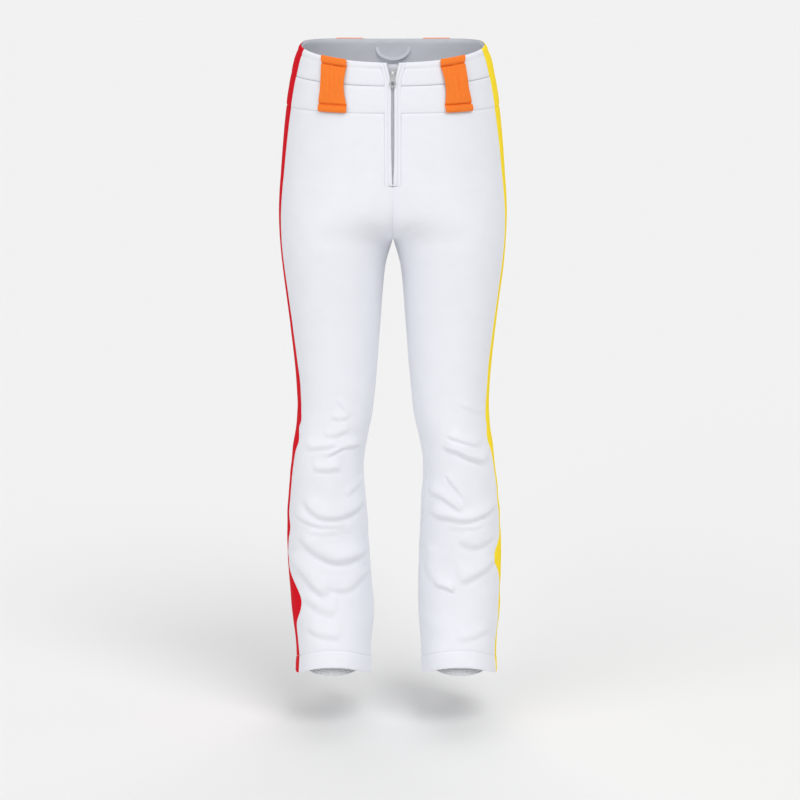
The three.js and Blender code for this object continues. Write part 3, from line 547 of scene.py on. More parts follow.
def tube(path, radius, sides):
    """Vertices and faces of a closed round bar along a path, thinner at its ends."""
    path = np.asarray(path, float)
    along = unit(np.gradient(path, axis=0))
    first = unit(np.cross(along, NO_BAR_RUNS_THIS_WAY))
    second = np.cross(along, first)
    share_along = np.linspace(0, 1, len(path))
    size = radius * np.clip(np.minimum(share_along, 1 - share_along) * 8 + 0.35, 0, 1)
    turn = np.arange(sides) * 2 * math.pi / sides
    ring = np.cos(turn)[None, :, None] * first[:, None] + np.sin(turn)[None, :, None] * second[:, None]
    vertices = (path[:, None] + ring * size[:, None, None]).reshape(-1, 3)
    faces = []
    for i in range(len(path) - 1):
        for j in range(sides):
            k = (j + 1) % sides
            faces.append((i * sides + j, i * sides + k, (i + 1) * sides + k, (i + 1) * sides + j))
    last = (len(path) - 1) * sides
    faces += [tuple(range(sides))[::-1], tuple(last + j for j in range(sides))]
    return vertices, faces


def join_parts(parts):
    """One list of vertices and faces from several."""
    vertices, faces, count = [], [], 0
    for part_vertices, part_faces in parts:
        vertices.append(np.asarray(part_vertices))
        faces += [tuple(i + count for i in face) for face in part_faces]
        count += len(part_vertices)
    return np.concatenate(vertices), faces


THREAD_RADIUS, STITCH_RISE = 0.32, 0.12


def stitching(name, lines, material, length, gap):
    """A row of stitches along each line, which is a pair of arrays: points and outward normals."""
    parts = []
    for points, normals in lines:
        run = np.concatenate([[0], np.cumsum(np.linalg.norm(np.diff(points, axis=0), axis=1))])
        for start in np.arange(gap, run[-1] - length, length + gap):
            at = start + np.array([0, 0.12, 0.5, 0.88, 1]) * length
            where = np.stack([np.interp(at, run, points[:, k]) for k in range(3)], axis=1)
            out = np.stack([np.interp(at, run, normals[:, k]) for k in range(3)], axis=1)
            stand = np.array([-0.45, 0.75, 1.0, 0.75, -0.45]) * STITCH_RISE
            parts.append(tube(where + out * stand[:, None], THREAD_RADIUS, 5))
    vertices, faces = join_parts(parts)
    return make_mesh(name, vertices, faces, [material], vertices[:, [0, 2]])


# ---- Materials ----


WAVE_SCALE = 0.314  # gives a wave texture one band per length, in metres, when divided by it


def nodes_of(name):
    material = bpy.data.materials.new(name)
    material.use_nodes = True
    tree = material.node_tree
    shader = tree.nodes["Principled BSDF"]
    return material, tree, shader


def add_node(tree, kind, **inputs):
    node = tree.nodes.new(kind)
    for key, value in inputs.items():
        node.inputs[key.replace("_", " ")].default_value = value
    return node


def multiply_add(tree, value, factor, added):
    """The socket of value * factor + added."""
    node = tree.nodes.new("ShaderNodeMath")
    node.operation = "MULTIPLY_ADD"
    tree.links.new(value, node.inputs[0])
    node.inputs[1].default_value = factor
    tree.links.new(added, node.inputs[2])
    return node.outputs["Value"]


def noise_from(tree, coordinates, scale, detail, roughness):
    noise = add_node(tree, "ShaderNodeTexNoise", Scale=scale, Detail=detail, Roughness=roughness)
    tree.links.new(coordinates, noise.inputs["Vector"])
    return noise.outputs["Fac"]


def finish_surface(tree, shader, tone, colours, patches, roughness, height, bump_strength, bump_height):
    """Colour mixed by tone, roughness varied by patches, and a bump from height."""
    link = tree.links.new
    mixed = tree.nodes.new("ShaderNodeMix")
    mixed.data_type = "RGBA"
    mixed.inputs["A"].default_value = (*colours[0], 1)
    mixed.inputs["B"].default_value = (*colours[1], 1)
    link(tone, mixed.inputs["Factor"])
    link(mixed.outputs["Result"], shader.inputs["Base Color"])
    rough = add_node(tree, "ShaderNodeMapRange", To_Min=roughness[0], To_Max=roughness[1])
    link(patches, rough.inputs["Value"])
    link(rough.outputs["Result"], shader.inputs["Roughness"])
    bump = add_node(tree, "ShaderNodeBump", Strength=bump_strength, Distance=bump_height * MM)
    link(height, bump.inputs["Height"])
    link(bump.outputs["Normal"], shader.inputs["Normal"])


def cloth_material(
    name, colour, roughness, sheen, rib=0.0, pitch=0.9, mottle=0.02, depth=0.25, shine=0.3,
):
    """Fabric: a fine weave from crossed waves on the cloth's own coordinates, a soft mottle and sheen.
    rib adds lengthwise cords that many millimetres apart."""
    material, tree, shader = nodes_of(name)
    shader.inputs["Roughness"].default_value = roughness
    shader.inputs["Sheen Weight"].default_value = sheen
    shader.inputs["Sheen Roughness"].default_value = 0.45
    shader.inputs["Specular IOR Level"].default_value = shine
    coordinates = tree.nodes.new("ShaderNodeUVMap")
    coordinates.uv_map = "cloth"
    on_cloth = coordinates.outputs["UV"]

    def wave(direction, period, distortion):
        scale = WAVE_SCALE / (period * MM)
        node = add_node(tree, "ShaderNodeTexWave", Scale=scale, Distortion=distortion, Detail=1.0)
        node.bands_direction = direction
        tree.links.new(on_cloth, node.inputs["Vector"])
        return node.outputs["Fac"]

    weave = tree.nodes.new("ShaderNodeMath")
    weave.operation = "MULTIPLY"
    tree.links.new(wave("X", pitch, 0.6), weave.inputs[0])
    tree.links.new(wave("Y", pitch * 0.8, 0.6), weave.inputs[1])
    height = weave.outputs["Value"]
    if rib:
        height = multiply_add(tree, wave("X", rib, 0.3), 2.5, height)
    cloudy = noise_from(tree, on_cloth, 28.0, 5.0, 0.6)
    grain = noise_from(tree, on_cloth, 1400.0, 2.0, 0.6)
    tone = multiply_add(tree, grain, 0.6, cloudy)
    shade = [c * (1 - 3 * mottle) for c in colour]
    fuzz = multiply_add(tree, grain, 0.7, height)
    wear = (roughness - 0.06, roughness + 0.06)
    finish_surface(tree, shader, tone, (shade, colour), cloudy, wear, fuzz, depth, 0.15)
    return material


def metal_material(name):
    material, tree, shader = nodes_of(name)
    shader.inputs["Metallic"].default_value = 1.0
    where = tree.nodes.new("ShaderNodeTexCoord")
    brushed = noise_from(tree, where.outputs["Object"], 900.0, 3.0, 0.5)
    colours = (0.80, 0.81, 0.83), (0.93, 0.94, 0.95)
    finish_surface(tree, shader, brushed, colours, brushed, (0.18, 0.34), brushed, 0.1, 0.05)
    return material


WHITE = cloth_material("softshell_white", (0.80, 0.815, 0.865), 0.7, 0.15)
LINING = cloth_material(
    "brushed_lining", (0.74, 0.76, 0.81), 0.85, 0.5, pitch=1.4, mottle=0.04, depth=0.6,
)
RED = cloth_material("softshell_red", (0.68, 0.003, 0.014), 0.8, 0.0, mottle=0.03, shine=0.1)
YELLOW = cloth_material("softshell_yellow", (1.0, 0.76, 0.03), 0.8, 0.0, mottle=0.02, shine=0.1)
ORANGE = cloth_material(
    "webbing_orange", (0.96, 0.22, 0.022), 0.75, 0.0, rib=1.9, mottle=0.04, depth=0.6,
)
KNIT = cloth_material("facing_knit", (0.76, 0.78, 0.83), 0.8, 0.4, pitch=1.2, mottle=0.04, depth=0.5)
TAPE = cloth_material("zip_tape_weave", (0.78, 0.80, 0.85), 0.72, 0.1, pitch=0.7, rib=1.1, depth=0.5)
COIL = cloth_material("zip_coil_nylon", (0.72, 0.74, 0.79), 0.4, 0.0, pitch=0.5, mottle=0.03, depth=0.1)
GAITER = cloth_material("gaiter_nylon", (0.70, 0.73, 0.79), 0.45, 0.1, pitch=0.6, mottle=0.03, depth=0.3)
ELASTIC_RIB = cloth_material(
    "elastic_rib", (0.74, 0.75, 0.78), 0.75, 0.2, rib=2.4, mottle=0.03, depth=0.7,
)
THREAD = cloth_material("thread_white", (0.76, 0.78, 0.83), 0.55, 0.1, pitch=0.4, depth=0.4)
ORANGE_THREAD = cloth_material("thread_orange", (0.85, 0.16, 0.012), 0.55, 0.1, pitch=0.4, depth=0.4)
METAL = metal_material("nickel_plate")
STRIPE = {"red": RED, "yellow": YELLOW}


def place(obj, body, *nodes):
    """Puts a finished piece on its body and hides the CAD nodes it stands for. A piece given a blend
    between two bodies stays where it is, with its transform baked in.
    """
    if isinstance(body, str):
        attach(obj, body)
    else:
        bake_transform(obj)
    if nodes:
        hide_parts(*nodes)


def sheet_of(points):
    """Measures a fabric piece's grid as a flat sheet: its width, length and area, which go no further.
    """
    across, down = lengths(points, 1)[:, -1], lengths(points, 0)[-1]
    a, b, c, d = points[:-1, :-1], points[1:, :-1], points[1:, 1:], points[:-1, 1:]
    area = 0.5 * np.linalg.norm(np.cross(c - a, d - b), axis=-1).sum()
    width, length = float(across.max()), float(down.max())
    area = min(area, width * length)


def fabric(name, points, materials, facing, body, nodes, held="stretched", rests_on=(), **shape):
    """A piece of cloth whose grid is measured as a sheet, put on its body."""
    piece = cloth(name, points, materials, facing, **shape)
    first, last = shape.get("rows") or (0, len(points) - 1)
    sheet_of(points[first:last + 1])
    place(piece, body, *nodes)


# ---- Leg panels ----

GROIN_TILT = math.radians(35)
GROIN_REACH, GROIN_CLEAR, GROIN_PASSES = 62, 34, 26  # up and down, clear of the inner seam, times
HIP_FOLD_LENGTH = 180
KNEE_FOLD_HALF = 90
FRONT_WIDTH, STRIPE_WIDTH = 205, 64  # of the leg's panels and stripe, to space their columns
LEG_SEAM_ROLL, STRIPE_STAND = 1.15, 0.25
FLY_LENGTH = 192
FLY_OPEN_DEPTH = 27  # the fly is open from its top down to the slider's lower end
WELT_EDGE = 12.4


def hip_blend(side, name):
    direction = Vector((side * math.sin(GROIN_TILT), 0, -math.cos(GROIN_TILT)))
    start = Vector((0, 0, CROTCH * MM))
    return "waist", f"upper_leg_{name}", start, start + direction * HIP_FOLD_LENGTH * MM


def knee_blend(name):
    top, bottom = (KNEE + KNEE_FOLD_HALF) * MM, (KNEE - KNEE_FOLD_HALF) * MM
    return f"upper_leg_{name}", f"lower_leg_{name}", (0, 0, top), (0, 0, bottom)


def fly_open_at(z):
    return 8 * np.clip(1 + z / FLY_OPEN_DEPTH, 0, 1.5)


def inseam_at(side, z):
    """The angle of a panel's inner edge: the centre seam, and the inseam below the crotch."""
    return np.where(z > CROTCH, angle_from_middle(side, z, 0.0), math.pi)


def front_edge_at(side, z):
    """The front panel's inner edge, which runs beside the fly down to its end."""
    beside = angle_from_middle(side, z, WELT_EDGE + fly_open_at(z))
    return share(beside, inseam_at(side, z), smoothstep(-z, FLY_LENGTH - 1.2, FLY_LENGTH + 0.4))


def leg_rows():
    """Shares down a leg, from the yoke seam to the hem, and the row at which it is split in two."""
    upper = YOKE_LINE - SPLIT
    fly_end = (FLY_LENGTH + YOKE_LINE) + np.array([-1.9, -1.2, -0.4, 0.4, 1.2, 2.4, 4])
    plain = np.arange(PANEL_SPACING * 1.5, upper, PANEL_SPACING)
    v = np.unique(np.round(np.concatenate([[0, 0.7, 1.6, 3], plain, fly_end, [upper]]), 2))
    v = v[np.concatenate([[True], np.diff(v) > 0.55])]
    v[-1] = upper
    lower = np.arange(1, int((SPLIT - HEM) / PANEL_SPACING)) * PANEL_SPACING
    stitch = HEM_STITCH + np.array([-4.5, -3, -2, -1, 0, 1, 2, 3, 4.5])
    close = np.concatenate([stitch, [3, 1.6, 0.7, 0]])
    lower = lower[lower < SPLIT - HEM - PANEL_SPACING]
    lower = np.unique(np.concatenate([lower, SPLIT - HEM - close]))
    lower = lower[np.concatenate([np.diff(lower) > 0.6, [True]])]
    return np.concatenate([v / upper, 1 + lower / (SPLIT - HEM)]), len(v) - 1


def leg_grid(side, angle_of, u, rows, inset=0.0):
    """Outer points of a panel from the yoke seam to the hem. angle_of(z) gives each column's angle."""
    top = settle(angle_of, yoke_seam, np.full(u.shape, float(YOKE_LINE)))
    bottom = settle(angle_of, hem_edge, np.full(u.shape, float(HEM)))
    v = rows[:, None]
    above, below = share(top, SPLIT, np.minimum(v, 1)), share(SPLIT, bottom, np.maximum(v, 1) - 1)
    z = np.where(v <= 1, above, below)
    return across_the_groin(shell_point(side, angle_of(z), z, inset))


def across_the_groin(points):
    """Takes out the crease where the hips' section turns into a leg's, except at the inner seam."""
    z = points[..., 2]
    across = lengths(points, 1)
    from_seam = across[:, -1:] - across
    near = bump_at(z, CROTCH + 6, GROIN_REACH) * smoothstep(from_seam, 0, GROIN_CLEAR)
    for _ in range(GROIN_PASSES):
        middle = (points[:-2] + 2 * points[1:-1] + points[2:]) / 4
        moved = points[1:-1] + (middle - points[1:-1]) * near[1:-1, :, None]
        moved[..., 2] = points[1:-1, :, 2]
        points = np.concatenate([points[:1], moved, points[-1:]])
    return points


def leg_panels(side, name, stripe):
    rows, split = leg_rows()

    def in_two(label, points, materials, facing, upper_nodes, lower_nodes):
        for half, kept, body, nodes in (
            ("upper", (0, split), hip_blend(side, name), upper_nodes),
            ("lower", (split, len(rows) - 1), knee_blend(name), lower_nodes),
        ):
            fabric(
                f"{label}_{half}", points, materials, facing, body, nodes,
                seams="tlrb", roll=LEG_SEAM_ROLL, rows=kept,
            )

    for face, forward in (("front", 1), ("back", -1)):
        u = shares_across(FRONT_WIDTH, PANEL_SPACING)[None, :]

        def angle_of(z, u=u, forward=forward):
            inner = front_edge_at(side, z) if forward > 0 else inseam_at(side, z)
            edge = stripe_front_at(side, z) if forward > 0 else stripe_back_at(side, z)
            turned = angle_forward(z, inseam_turn(side, z))
            return forward * share(angle_forward(z, edge), inner - forward * turned, u)

        points = leg_grid(side, angle_of, u, rows)
        above = ("hip_front", "thigh_front", "hip_fold") if forward > 0 else ("seat_back", "thigh_back")
        below = ("shin_front", "knee_fold") if forward > 0 else ("shin_back",)
        in_two(
            f"leg_{face}_{name}", points, [WHITE, LINING], side * forward,
            [f"{n}_{name}" for n in above], [f"{n}_{name}" for n in below],
        )

    u = shares_across(STRIPE_WIDTH, PANEL_SPACING)[None, :]

    def stripe_angle(z):
        front, back = stripe_front_at(side, z), stripe_back_at(side, z)
        return share(angle_forward(z, front), -angle_forward(z, back), u)

    points = leg_grid(side, stripe_angle, u, rows, -STRIPE_STAND)
    in_two(
        f"side_stripe_{stripe}", points, [STRIPE[stripe], LINING], -side,
        [f"stripe_{stripe}_hip", f"stripe_{stripe}_thigh"], [f"stripe_{stripe}_shin"],
    )


# ---- Waistband ----

BAND_TIERS = (
    ("waistband", top_edge, tunnel_seam, 1.5),
    ("yoke", tunnel_seam, yoke_seam, 0.8),
)
TOPSTITCH = 11  # below the band's top edge
UPPER_PUFF, LOWER_PUFF, BAND_DRIFT = 0.6, 0.9, 0.55  # how far the tiers swell, and how unevenly
BAND_FRONT_WIDTH, BAND_BACK_WIDTH, BAND_STRIPE_WIDTH = 140, 230, 76  # to space their columns
TIER_HEIGHT, FACING_HEIGHT = 40, 78  # to space their rows


def between(line_a, line_b, v):
    def line(angle):
        return share(line_a(angle), line_b(angle), v)

    return line


def band_grid(side_of, angle_of, top, bottom, rows, inset=0.0):
    """Points of a band between two seam lines. side_of is the side of each column, and
    angle_of(z, side) its angle."""
    count = len(side_of)
    grid = []
    for v in rows:
        line = between(top, bottom, v)
        z = settle(lambda h: angle_of(h, side_of), line, np.zeros(count))
        angle = angle_of(z, side_of)
        lean = inset(v) if callable(inset) else inset
        row = np.zeros((count, 3))
        for side in (RIGHT, LEFT):
            here = side_of == side
            row[here] = shell_point(side, angle[here], z[here], lean)
        grid.append(row)
    return np.array(grid)


def band_puff(points, facing, stitched):
    """The band's cloth swells between its seams, more in some places than in others."""
    normal = facing * grid_normals(points, False)
    across, down = lengths(points, 1), lengths(points, 0)
    v = down / down[-1:]
    puff = LOWER_PUFF * np.sin(math.pi * v) ** 0.6
    if stitched:
        roll = bump_at(down, TOPSTITCH * 0.45, TOPSTITCH * 0.42)
        furrow = bump_at(down, TOPSTITCH, 1.7)
        strength = 0.8 + 0.35 * value_noise(across, down * 0, 34, 5)
        puff = UPPER_PUFF * np.sin(math.pi * v) ** 0.6 + strength * (1.2 * roll - 1.1 * furrow)
    drift = BAND_DRIFT * value_noise(across, down * 1.6, 41, 12)
    return points + normal * (puff + drift * np.sin(math.pi * v))[..., None]


def waist_tiers():
    rows = shares_across(TIER_HEIGHT, BAND_ROW_SPACING)
    for tier, top, bottom, roll in BAND_TIERS:
        stitched = tier == "waistband"
        for side, name, _ in SIDES:
            u = shares_across(BAND_FRONT_WIDTH, BAND_SPACING)

            def angle_of(z, _, side=side, u=u):
                edge = angle_from_middle(side, z, WELT_EDGE + fly_open_at(z))
                return share(angle_forward(z, stripe_half_at(z)), edge, u)

            points = band_grid(np.full(len(u), side), angle_of, top, bottom, rows)
            fabric(
                f"{tier}_front_{name}_cloth", band_puff(points, side, stitched), [WHITE, LINING], side,
                "waist", [f"{tier}_front_{name}"], seams="tblr", roll=roll,
            )

        half = shares_across(BAND_BACK_WIDTH, BAND_SPACING)
        half = half[half < 0.97] / 2
        u = np.concatenate([half, [0.5], 1 - half[::-1]])
        to_middle = 1 - np.abs(2 * u - 1)

        def around_back(z, _, to_middle=to_middle):
            return -share(angle_forward(z, stripe_half_at(z)), math.pi / 2, to_middle)

        points = band_grid(np.where(u < 0.5, RIGHT, LEFT), around_back, top, bottom, rows)
        fabric(
            f"{tier}_back_cloth", band_puff(points, 1, stitched), [WHITE, LINING], 1,
            "waist", [f"{tier}_back"], seams="tblr", roll=roll,
        )

    for side, _, stripe in SIDES:
        u = shares_across(BAND_STRIPE_WIDTH, BAND_SPACING)

        def stripe_angle(z, _, u=u):
            return angle_forward(z, stripe_half_at(z)) * (1 - 2 * u)

        upper, lower = (
            band_grid(np.full(len(u), side), stripe_angle, top, bottom, rows, -STRIPE_STAND)
            for _, top, bottom, _ in BAND_TIERS
        )
        points = np.concatenate([band_puff(upper, -side, True), band_puff(lower, -side, False)[1:]])
        fabric(
            f"side_stripe_{stripe}_waist", points, [STRIPE[stripe], LINING], -side,
            "waist", [f"stripe_{stripe}_waist"], seams="tblr",
        )


def waist_facing():
    """The knitted facing inside the band, from one edge of the fly round to the other."""
    u = np.linspace(0, 1, 181)
    side_of = np.where(u < 0.5, RIGHT, LEFT)
    to_fly = np.abs(2 * u - 1)

    def angle_of(z, sides):
        right = angle_from_middle(RIGHT, z, WELT_EDGE + 1.6 + fly_open_at(z))
        left = angle_from_middle(LEFT, z, WELT_EDGE + 1.6 + fly_open_at(z))
        return share(-math.pi / 2, np.where(sides == RIGHT, right, left), to_fly)

    def inset(v):
        return SHELL + 1 + 0.5 * math.exp(-((v / 0.04) ** 2))

    rows = shares_across(FACING_HEIGHT, BAND_ROW_SPACING)
    points = band_grid(
        side_of, angle_of, lambda a: top_edge(a) - 1.5, lambda a: yoke_seam(a) + 3, rows, inset,
    )
    normal = grid_normals(points, False)
    across, down = lengths(points, 1), lengths(points, 0)
    points = points - normal * (0.25 * value_noise(across, down, 18, 31))[..., None]
    fabric(
        "waistband_facing_cloth", points, [KNIT, KNIT], 1, "waist", ["waistband_facing"],
        thick=FACING, roll=0.5, seams="tb",
    )


# ---- Belt loops ----

LOOP_WIDTH, LOOP_THICK = 43, 2.0
LOOP_EDGES = {  # distance of the inner and outer edge from the middle, at the top and the bottom
    ("front", RIGHT): ((72, 72.5), (109.5, 115.5)),
    ("front", LEFT): ((74, 83), (110.5, 124.5)),
    ("back", RIGHT): ((48.5, 48.5), (91.5, 91.5)),
    ("back", LEFT): ((48.5, 48.5), (91.5, 91.5)),
}
LOOP_TAB_HEIGHT = 12.5
LOOP_RIB = 2.55
LOOP_CREASES = ((0.38, 1.0), (0.47, 0.8), (0.62, 0.6))  # share across the loop, and strength
LOOP_STITCH = 2.4  # from the inner edge of a folded end


def loop_profile(down, length):
    """How far the webbing stands off the band along its length: a folded roll at each end, a sharp
    dip beside it, and a slack bow between them."""
    middle = LOOP_TAB_HEIGHT / 2
    stand = 3.4 + 3.0 * np.clip(np.sin(math.pi * np.clip(down / length, 0, 1)), 0, 1) ** 0.7
    for distance in (down, length - down):
        roll = np.sqrt(np.clip(1 - ((distance - middle) / (middle + 0.2)) ** 2, 0, 1))
        stand = np.where(distance < LOOP_TAB_HEIGHT, 2.6 + 3.4 * roll, stand)
        stand = stand - 2.0 * bump_at(distance, LOOP_TAB_HEIGHT, 1.3)
    return stand


def belt_loop(side, name, where, forward):
    u = np.linspace(0, 1, 103)
    v = np.concatenate([
        np.linspace(0, 0.2, 26)[:-1], np.linspace(0.2, 0.8, 30)[:-1], np.linspace(0.8, 1, 26),
    ])
    inner, outer_edge = LOOP_EDGES[where, side]

    def angle_of(z, _):
        down = np.clip(-z / -YOKE_LINE, 0, 1)
        distance = share(share(*outer_edge, down), share(*inner, down), u)
        return forward * angle_from_middle(side, z, distance)

    points = band_grid(
        np.full(len(u), side), angle_of, lambda a: top_edge(a) + 0.8, lambda a: yoke_seam(a) - 0.5, v,
    )
    facing = side * forward
    normal = facing * grid_normals(points, False)
    down = lengths(points, 0)
    length = down[-1:].mean()
    down = down / down[-1:] * length
    middle = np.clip((down - LOOP_TAB_HEIGHT) / (length - 2 * LOOP_TAB_HEIGHT), 0, 1)
    free = np.sin(math.pi * middle)
    # the free part draws in a little, more on the side towards the fly
    across = points[:, -1:] - points[:, :1]
    points = points - across * (free * (0.1 * u[None, :] - 0.035 * (1 - u[None, :])))[..., None]
    ribs = 0.2 * np.cos(2 * math.pi * u * LOOP_WIDTH / LOOP_RIB)[None, :]
    crease = 0.9 * free * sum(
        bump_at((u[None, :] - c - 0.015 * np.sin(down / 9)) * LOOP_WIDTH, 0, 1.1) * k
        for c, k in LOOP_CREASES
    )
    selvedge = 0.35 * (bump_at(u * LOOP_WIDTH, 0, 1.6) + bump_at((1 - u) * LOOP_WIDTH, 0, 1.6))
    waver = 0.7 * free * value_noise(u[None, :] * LOOP_WIDTH, down, 17, 3 + side + forward)
    stand = loop_profile(down, length) + ribs - crease + selvedge[None, :] + waver
    outer = points + normal * stand[..., None]
    under = f"front_{name}" if forward > 0 else "back"
    fabric(
        f"belt_loop_{where}_{name}_web", outer, [ORANGE, ORANGE], facing,
        "waist", [f"belt_loop_{where}_{name}"],
        rests_on=[f"waistband_{under}_cloth", f"yoke_{under}_cloth"],
        thick=LOOP_THICK, seams="lr", roll=0.5,
    )

    lines = []
    for at in (LOOP_TAB_HEIGHT - LOOP_STITCH, length - LOOP_TAB_HEIGHT + LOOP_STITCH):
        row = int(np.argmin(np.abs(down[:, 50] - at)))
        lines.append((outer[row, 3:-3], normal[row, 3:-3]))
    place(stitching(f"loop_stitching_{where}_{name}", lines, ORANGE_THREAD, 2.2, 0.8), "waist")


def belt_loops():
    for side, name, _ in SIDES:
        for where, forward in (("front", 1), ("back", -1)):
            belt_loop(side, name, where, forward)


# ---- Fly and zip ----

FLY_LEAN = 0.06  # as in the CAD
FLY_TILT = -math.atan(FLY_LEAN)
LIP_THICK, LIP_HEIGHT, WELT_STITCH = 1.1, 2.5, 8.4
COIL_START, COIL_END, TOOTH_PITCH = 7, 5.5, 1.45
TAPE_WIDTH, TAPE_THICK = 11.2, 0.7
GUARD_HALF, GUARD_TAB, GUARD_DEPTH = 17, 20.5, 8.75
HANGER_HALF, HANGER_TAPE = 26, 5


def fly_to_world(points):
    """From the fly's own axes (x across, y into the body, z down the zip) to the row frame."""
    x, y, z = np.moveaxis(np.asarray(points, float), -1, 0)
    c, s = math.cos(FLY_TILT), math.sin(FLY_TILT)
    return np.stack([x, y * c - z * s - float(front_at(0.0)), y * s + z * c], axis=-1)


def fly_grid(x, y, z):
    """A grid in the frame's axes from the fly's own: z is the height of each row."""
    return fly_to_world(np.stack(np.broadcast_arrays(x, y, z[:, None]), axis=-1))


def welt_gap_at(z):
    """Half the slot between the two lips: it closes at the bottom and opens out at the top."""
    closing = np.clip((z + FLY_LENGTH) / 60, 0, 1) ** 0.6
    return 0.25 + 1.9 * closing + fly_open_at(z)


def fly_welts():
    ends = np.array([1.4, 0.6, 0]) - FLY_LENGTH
    z = np.concatenate([[-0.6, -1.2, -2.2], np.arange(-4, -FLY_LENGTH + 3, -2.6), ends])
    u = np.concatenate([np.linspace(0, 0.5, 13)[:-1], np.linspace(0.5, 1, 9)])
    near = welt_gap_at(z)[:, None]
    far = WELT_EDGE + 0.5 + fly_open_at(z)[:, None]
    lip = LIP_HEIGHT * np.sqrt(np.clip(1 - ((u - 0.27) / 0.285) ** 2, 0, 1))
    flat = 0.75 * smoothstep(u, 0.3, 0.5) * (1 - smoothstep(u, 0.9, 1.0))
    fade = np.minimum(smoothstep(-z, 0, 5) + 0.35, smoothstep(z + FLY_LENGTH, -1, 3) + 0.2)
    lines = []
    for side, name, _ in SIDES:
        uneven = 1 + 0.12 * value_noise(z, z * 0, 23, 8 + side)
        stand = np.maximum(lip, flat)[None, :] * np.clip(fade * uneven, 0, 1.2)[:, None]
        grid = fly_grid(side * share(near, far, u[None, :]), 0.35 - stand, z)
        fabric(
            f"fly_lip_{name}", grid, [WHITE, WHITE], -side, "waist", [f"fly_welt_{name}"],
            thick=LIP_THICK, seams="t", roll=0.5,
        )
        depth = np.arange(-FLY_LENGTH + 2, -3, 2.0)
        x = side * (fly_open_at(depth) + WELT_STITCH)
        at = np.stack([x, np.full(len(depth), -0.35), depth], axis=-1)
        out = np.tile(fly_to_world([[0, -1, 0]]) - fly_to_world([[0, 0, 0]]), (len(depth), 1))
        lines.append((fly_to_world(at), out))
    x = np.linspace(-WELT_STITCH, WELT_STITCH, 12)
    bar = np.stack([x, np.full(12, -0.35), np.full(12, -FLY_LENGTH + 2.0)], axis=-1)
    lines.append((fly_to_world(bar), np.tile(out[:1], (12, 1))))
    place(stitching("fly_stitching", lines, THREAD, 2.4, 0.9), "waist")


def zip_chain():
    """A nylon coil on each tape: one round turn per tooth, the two sides meshing like fingers."""
    turn = np.linspace(0, 1, 9)
    for side, name, _ in SIDES:
        parts = []
        start = -COIL_START - (0 if side == RIGHT else TOOTH_PITCH / 2)
        for z in np.arange(start, -FLY_LENGTH + COIL_END, -TOOTH_PITCH):
            reach = side * (1.9 - 2.3 * np.sin(math.pi * turn))
            depth = 0.75 + 0.75 * np.cos(math.pi * turn)
            x = side * float(fly_open_at(z)) + reach
            path = np.stack([x, depth + 0.3, z + 0.35 * np.sin(2 * math.pi * turn)], axis=-1)
            parts.append(tube(path, 0.36, 6))
        vertices, faces = join_parts(parts)
        vertices = fly_to_world(vertices)
        piece = make_mesh(f"zip_coil_{name}", vertices, faces, [COIL], vertices[:, [0, 2]])
        place(piece, "waist", f"zip_teeth_{name}")

        z = np.concatenate([[-1], np.arange(-3, -FLY_LENGTH, -3.0), [-FLY_LENGTH]])
        u = np.linspace(0, 1, 15)
        x = side * (1.3 + fly_open_at(z)[:, None] + TAPE_WIDTH * u[None, :])
        grid = fly_grid(x, 1.45 + 0.12 * np.cos(u * 40), z)
        fabric(
            f"zip_tape_{name}_weave", grid, [TAPE, TAPE], -side, "waist", [f"zip_tape_{name}"],
            thick=TAPE_THICK,
        )


def hardware():
    """The zip's metal stays as the CAD has it, with worn edges and a nickel finish."""
    for node in (
        "zip_slider", "zip_pull_tab", "zip_top_stop_right", "zip_top_stop_left", "zip_bottom_stop",
        "waist_snap_stud", "waist_snap_cap",
    ):
        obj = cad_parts[node]
        obj.data.materials.clear()
        obj.data.materials.append(METAL)
        bevel = obj.modifiers.new("worn_edges", "BEVEL")
        bevel.width = 0.28 * MM
        bevel.segments = 3
        bevel.limit_method = "ANGLE"
        bevel.angle_limit = math.radians(38)


def fly_guard():
    """The knitted guard behind the zip, with its tab for the press stud."""
    rows = np.concatenate([[-3.2, -4, -6], np.arange(-9, -FLY_LENGTH - 9, -3.0), [-FLY_LENGTH - 9.4]])
    u = np.linspace(0, 1, 31)
    tab = GUARD_TAB * smoothstep(rows, -38, -31)
    half = GUARD_HALF * np.sqrt(np.clip(1 - ((-rows - FLY_LENGTH + 4) / 14).clip(0, 1) ** 2, 0.08, 1))
    x = share(-(half + tab)[:, None], half[:, None], u[None, :])
    y = GUARD_DEPTH + 0.16 * value_noise(x, rows[:, None] + 0 * x, 14, 6)
    fabric(
        "fly_guard_cloth", fly_grid(x, y, rows), [KNIT, KNIT], -1, "waist", ["fly_guard"], thick=0.9,
    )


def hanger():
    """A looped tape inside the back of the band."""
    low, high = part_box("hanger_loop")
    top, drop = high.z / MM - 3, (high.z - low.z) / MM - HANGER_TAPE
    y = (low.y + high.y) / 2 / MM
    t = np.linspace(0, 1, 49)
    x = -HANGER_HALF * np.cos(math.pi * t) * (1 - 0.06 * np.sin(math.pi * t))
    z = top - drop * np.sin(math.pi * t) ** 0.8
    path = np.stack([x, np.full(len(t), y), z], axis=-1)
    across = np.cross(unit(np.gradient(path, axis=0)), [0, 1, 0])
    u = np.linspace(-0.5, 0.5, 9)
    grid = path[None, :, :] + across[None, :, :] * (u * HANGER_TAPE)[:, None, None]
    grid[..., 1] += 0.15 * np.cos(u * 4 * math.pi)[:, None]
    piece = cloth("hanger_loop_tape", grid, [TAPE, TAPE], 1, thick=0.9)
    place(piece, "waist", "hanger_loop")


# ---- Inside the hems ----

HEM_FACING_HEIGHT, HEM_FACING_INSET = 30, SHELL + 1.6
GAITER_TOP, GAITER_LENGTH, GAITER_INSET = HEM + 190, 150, 13
ELASTIC = 22


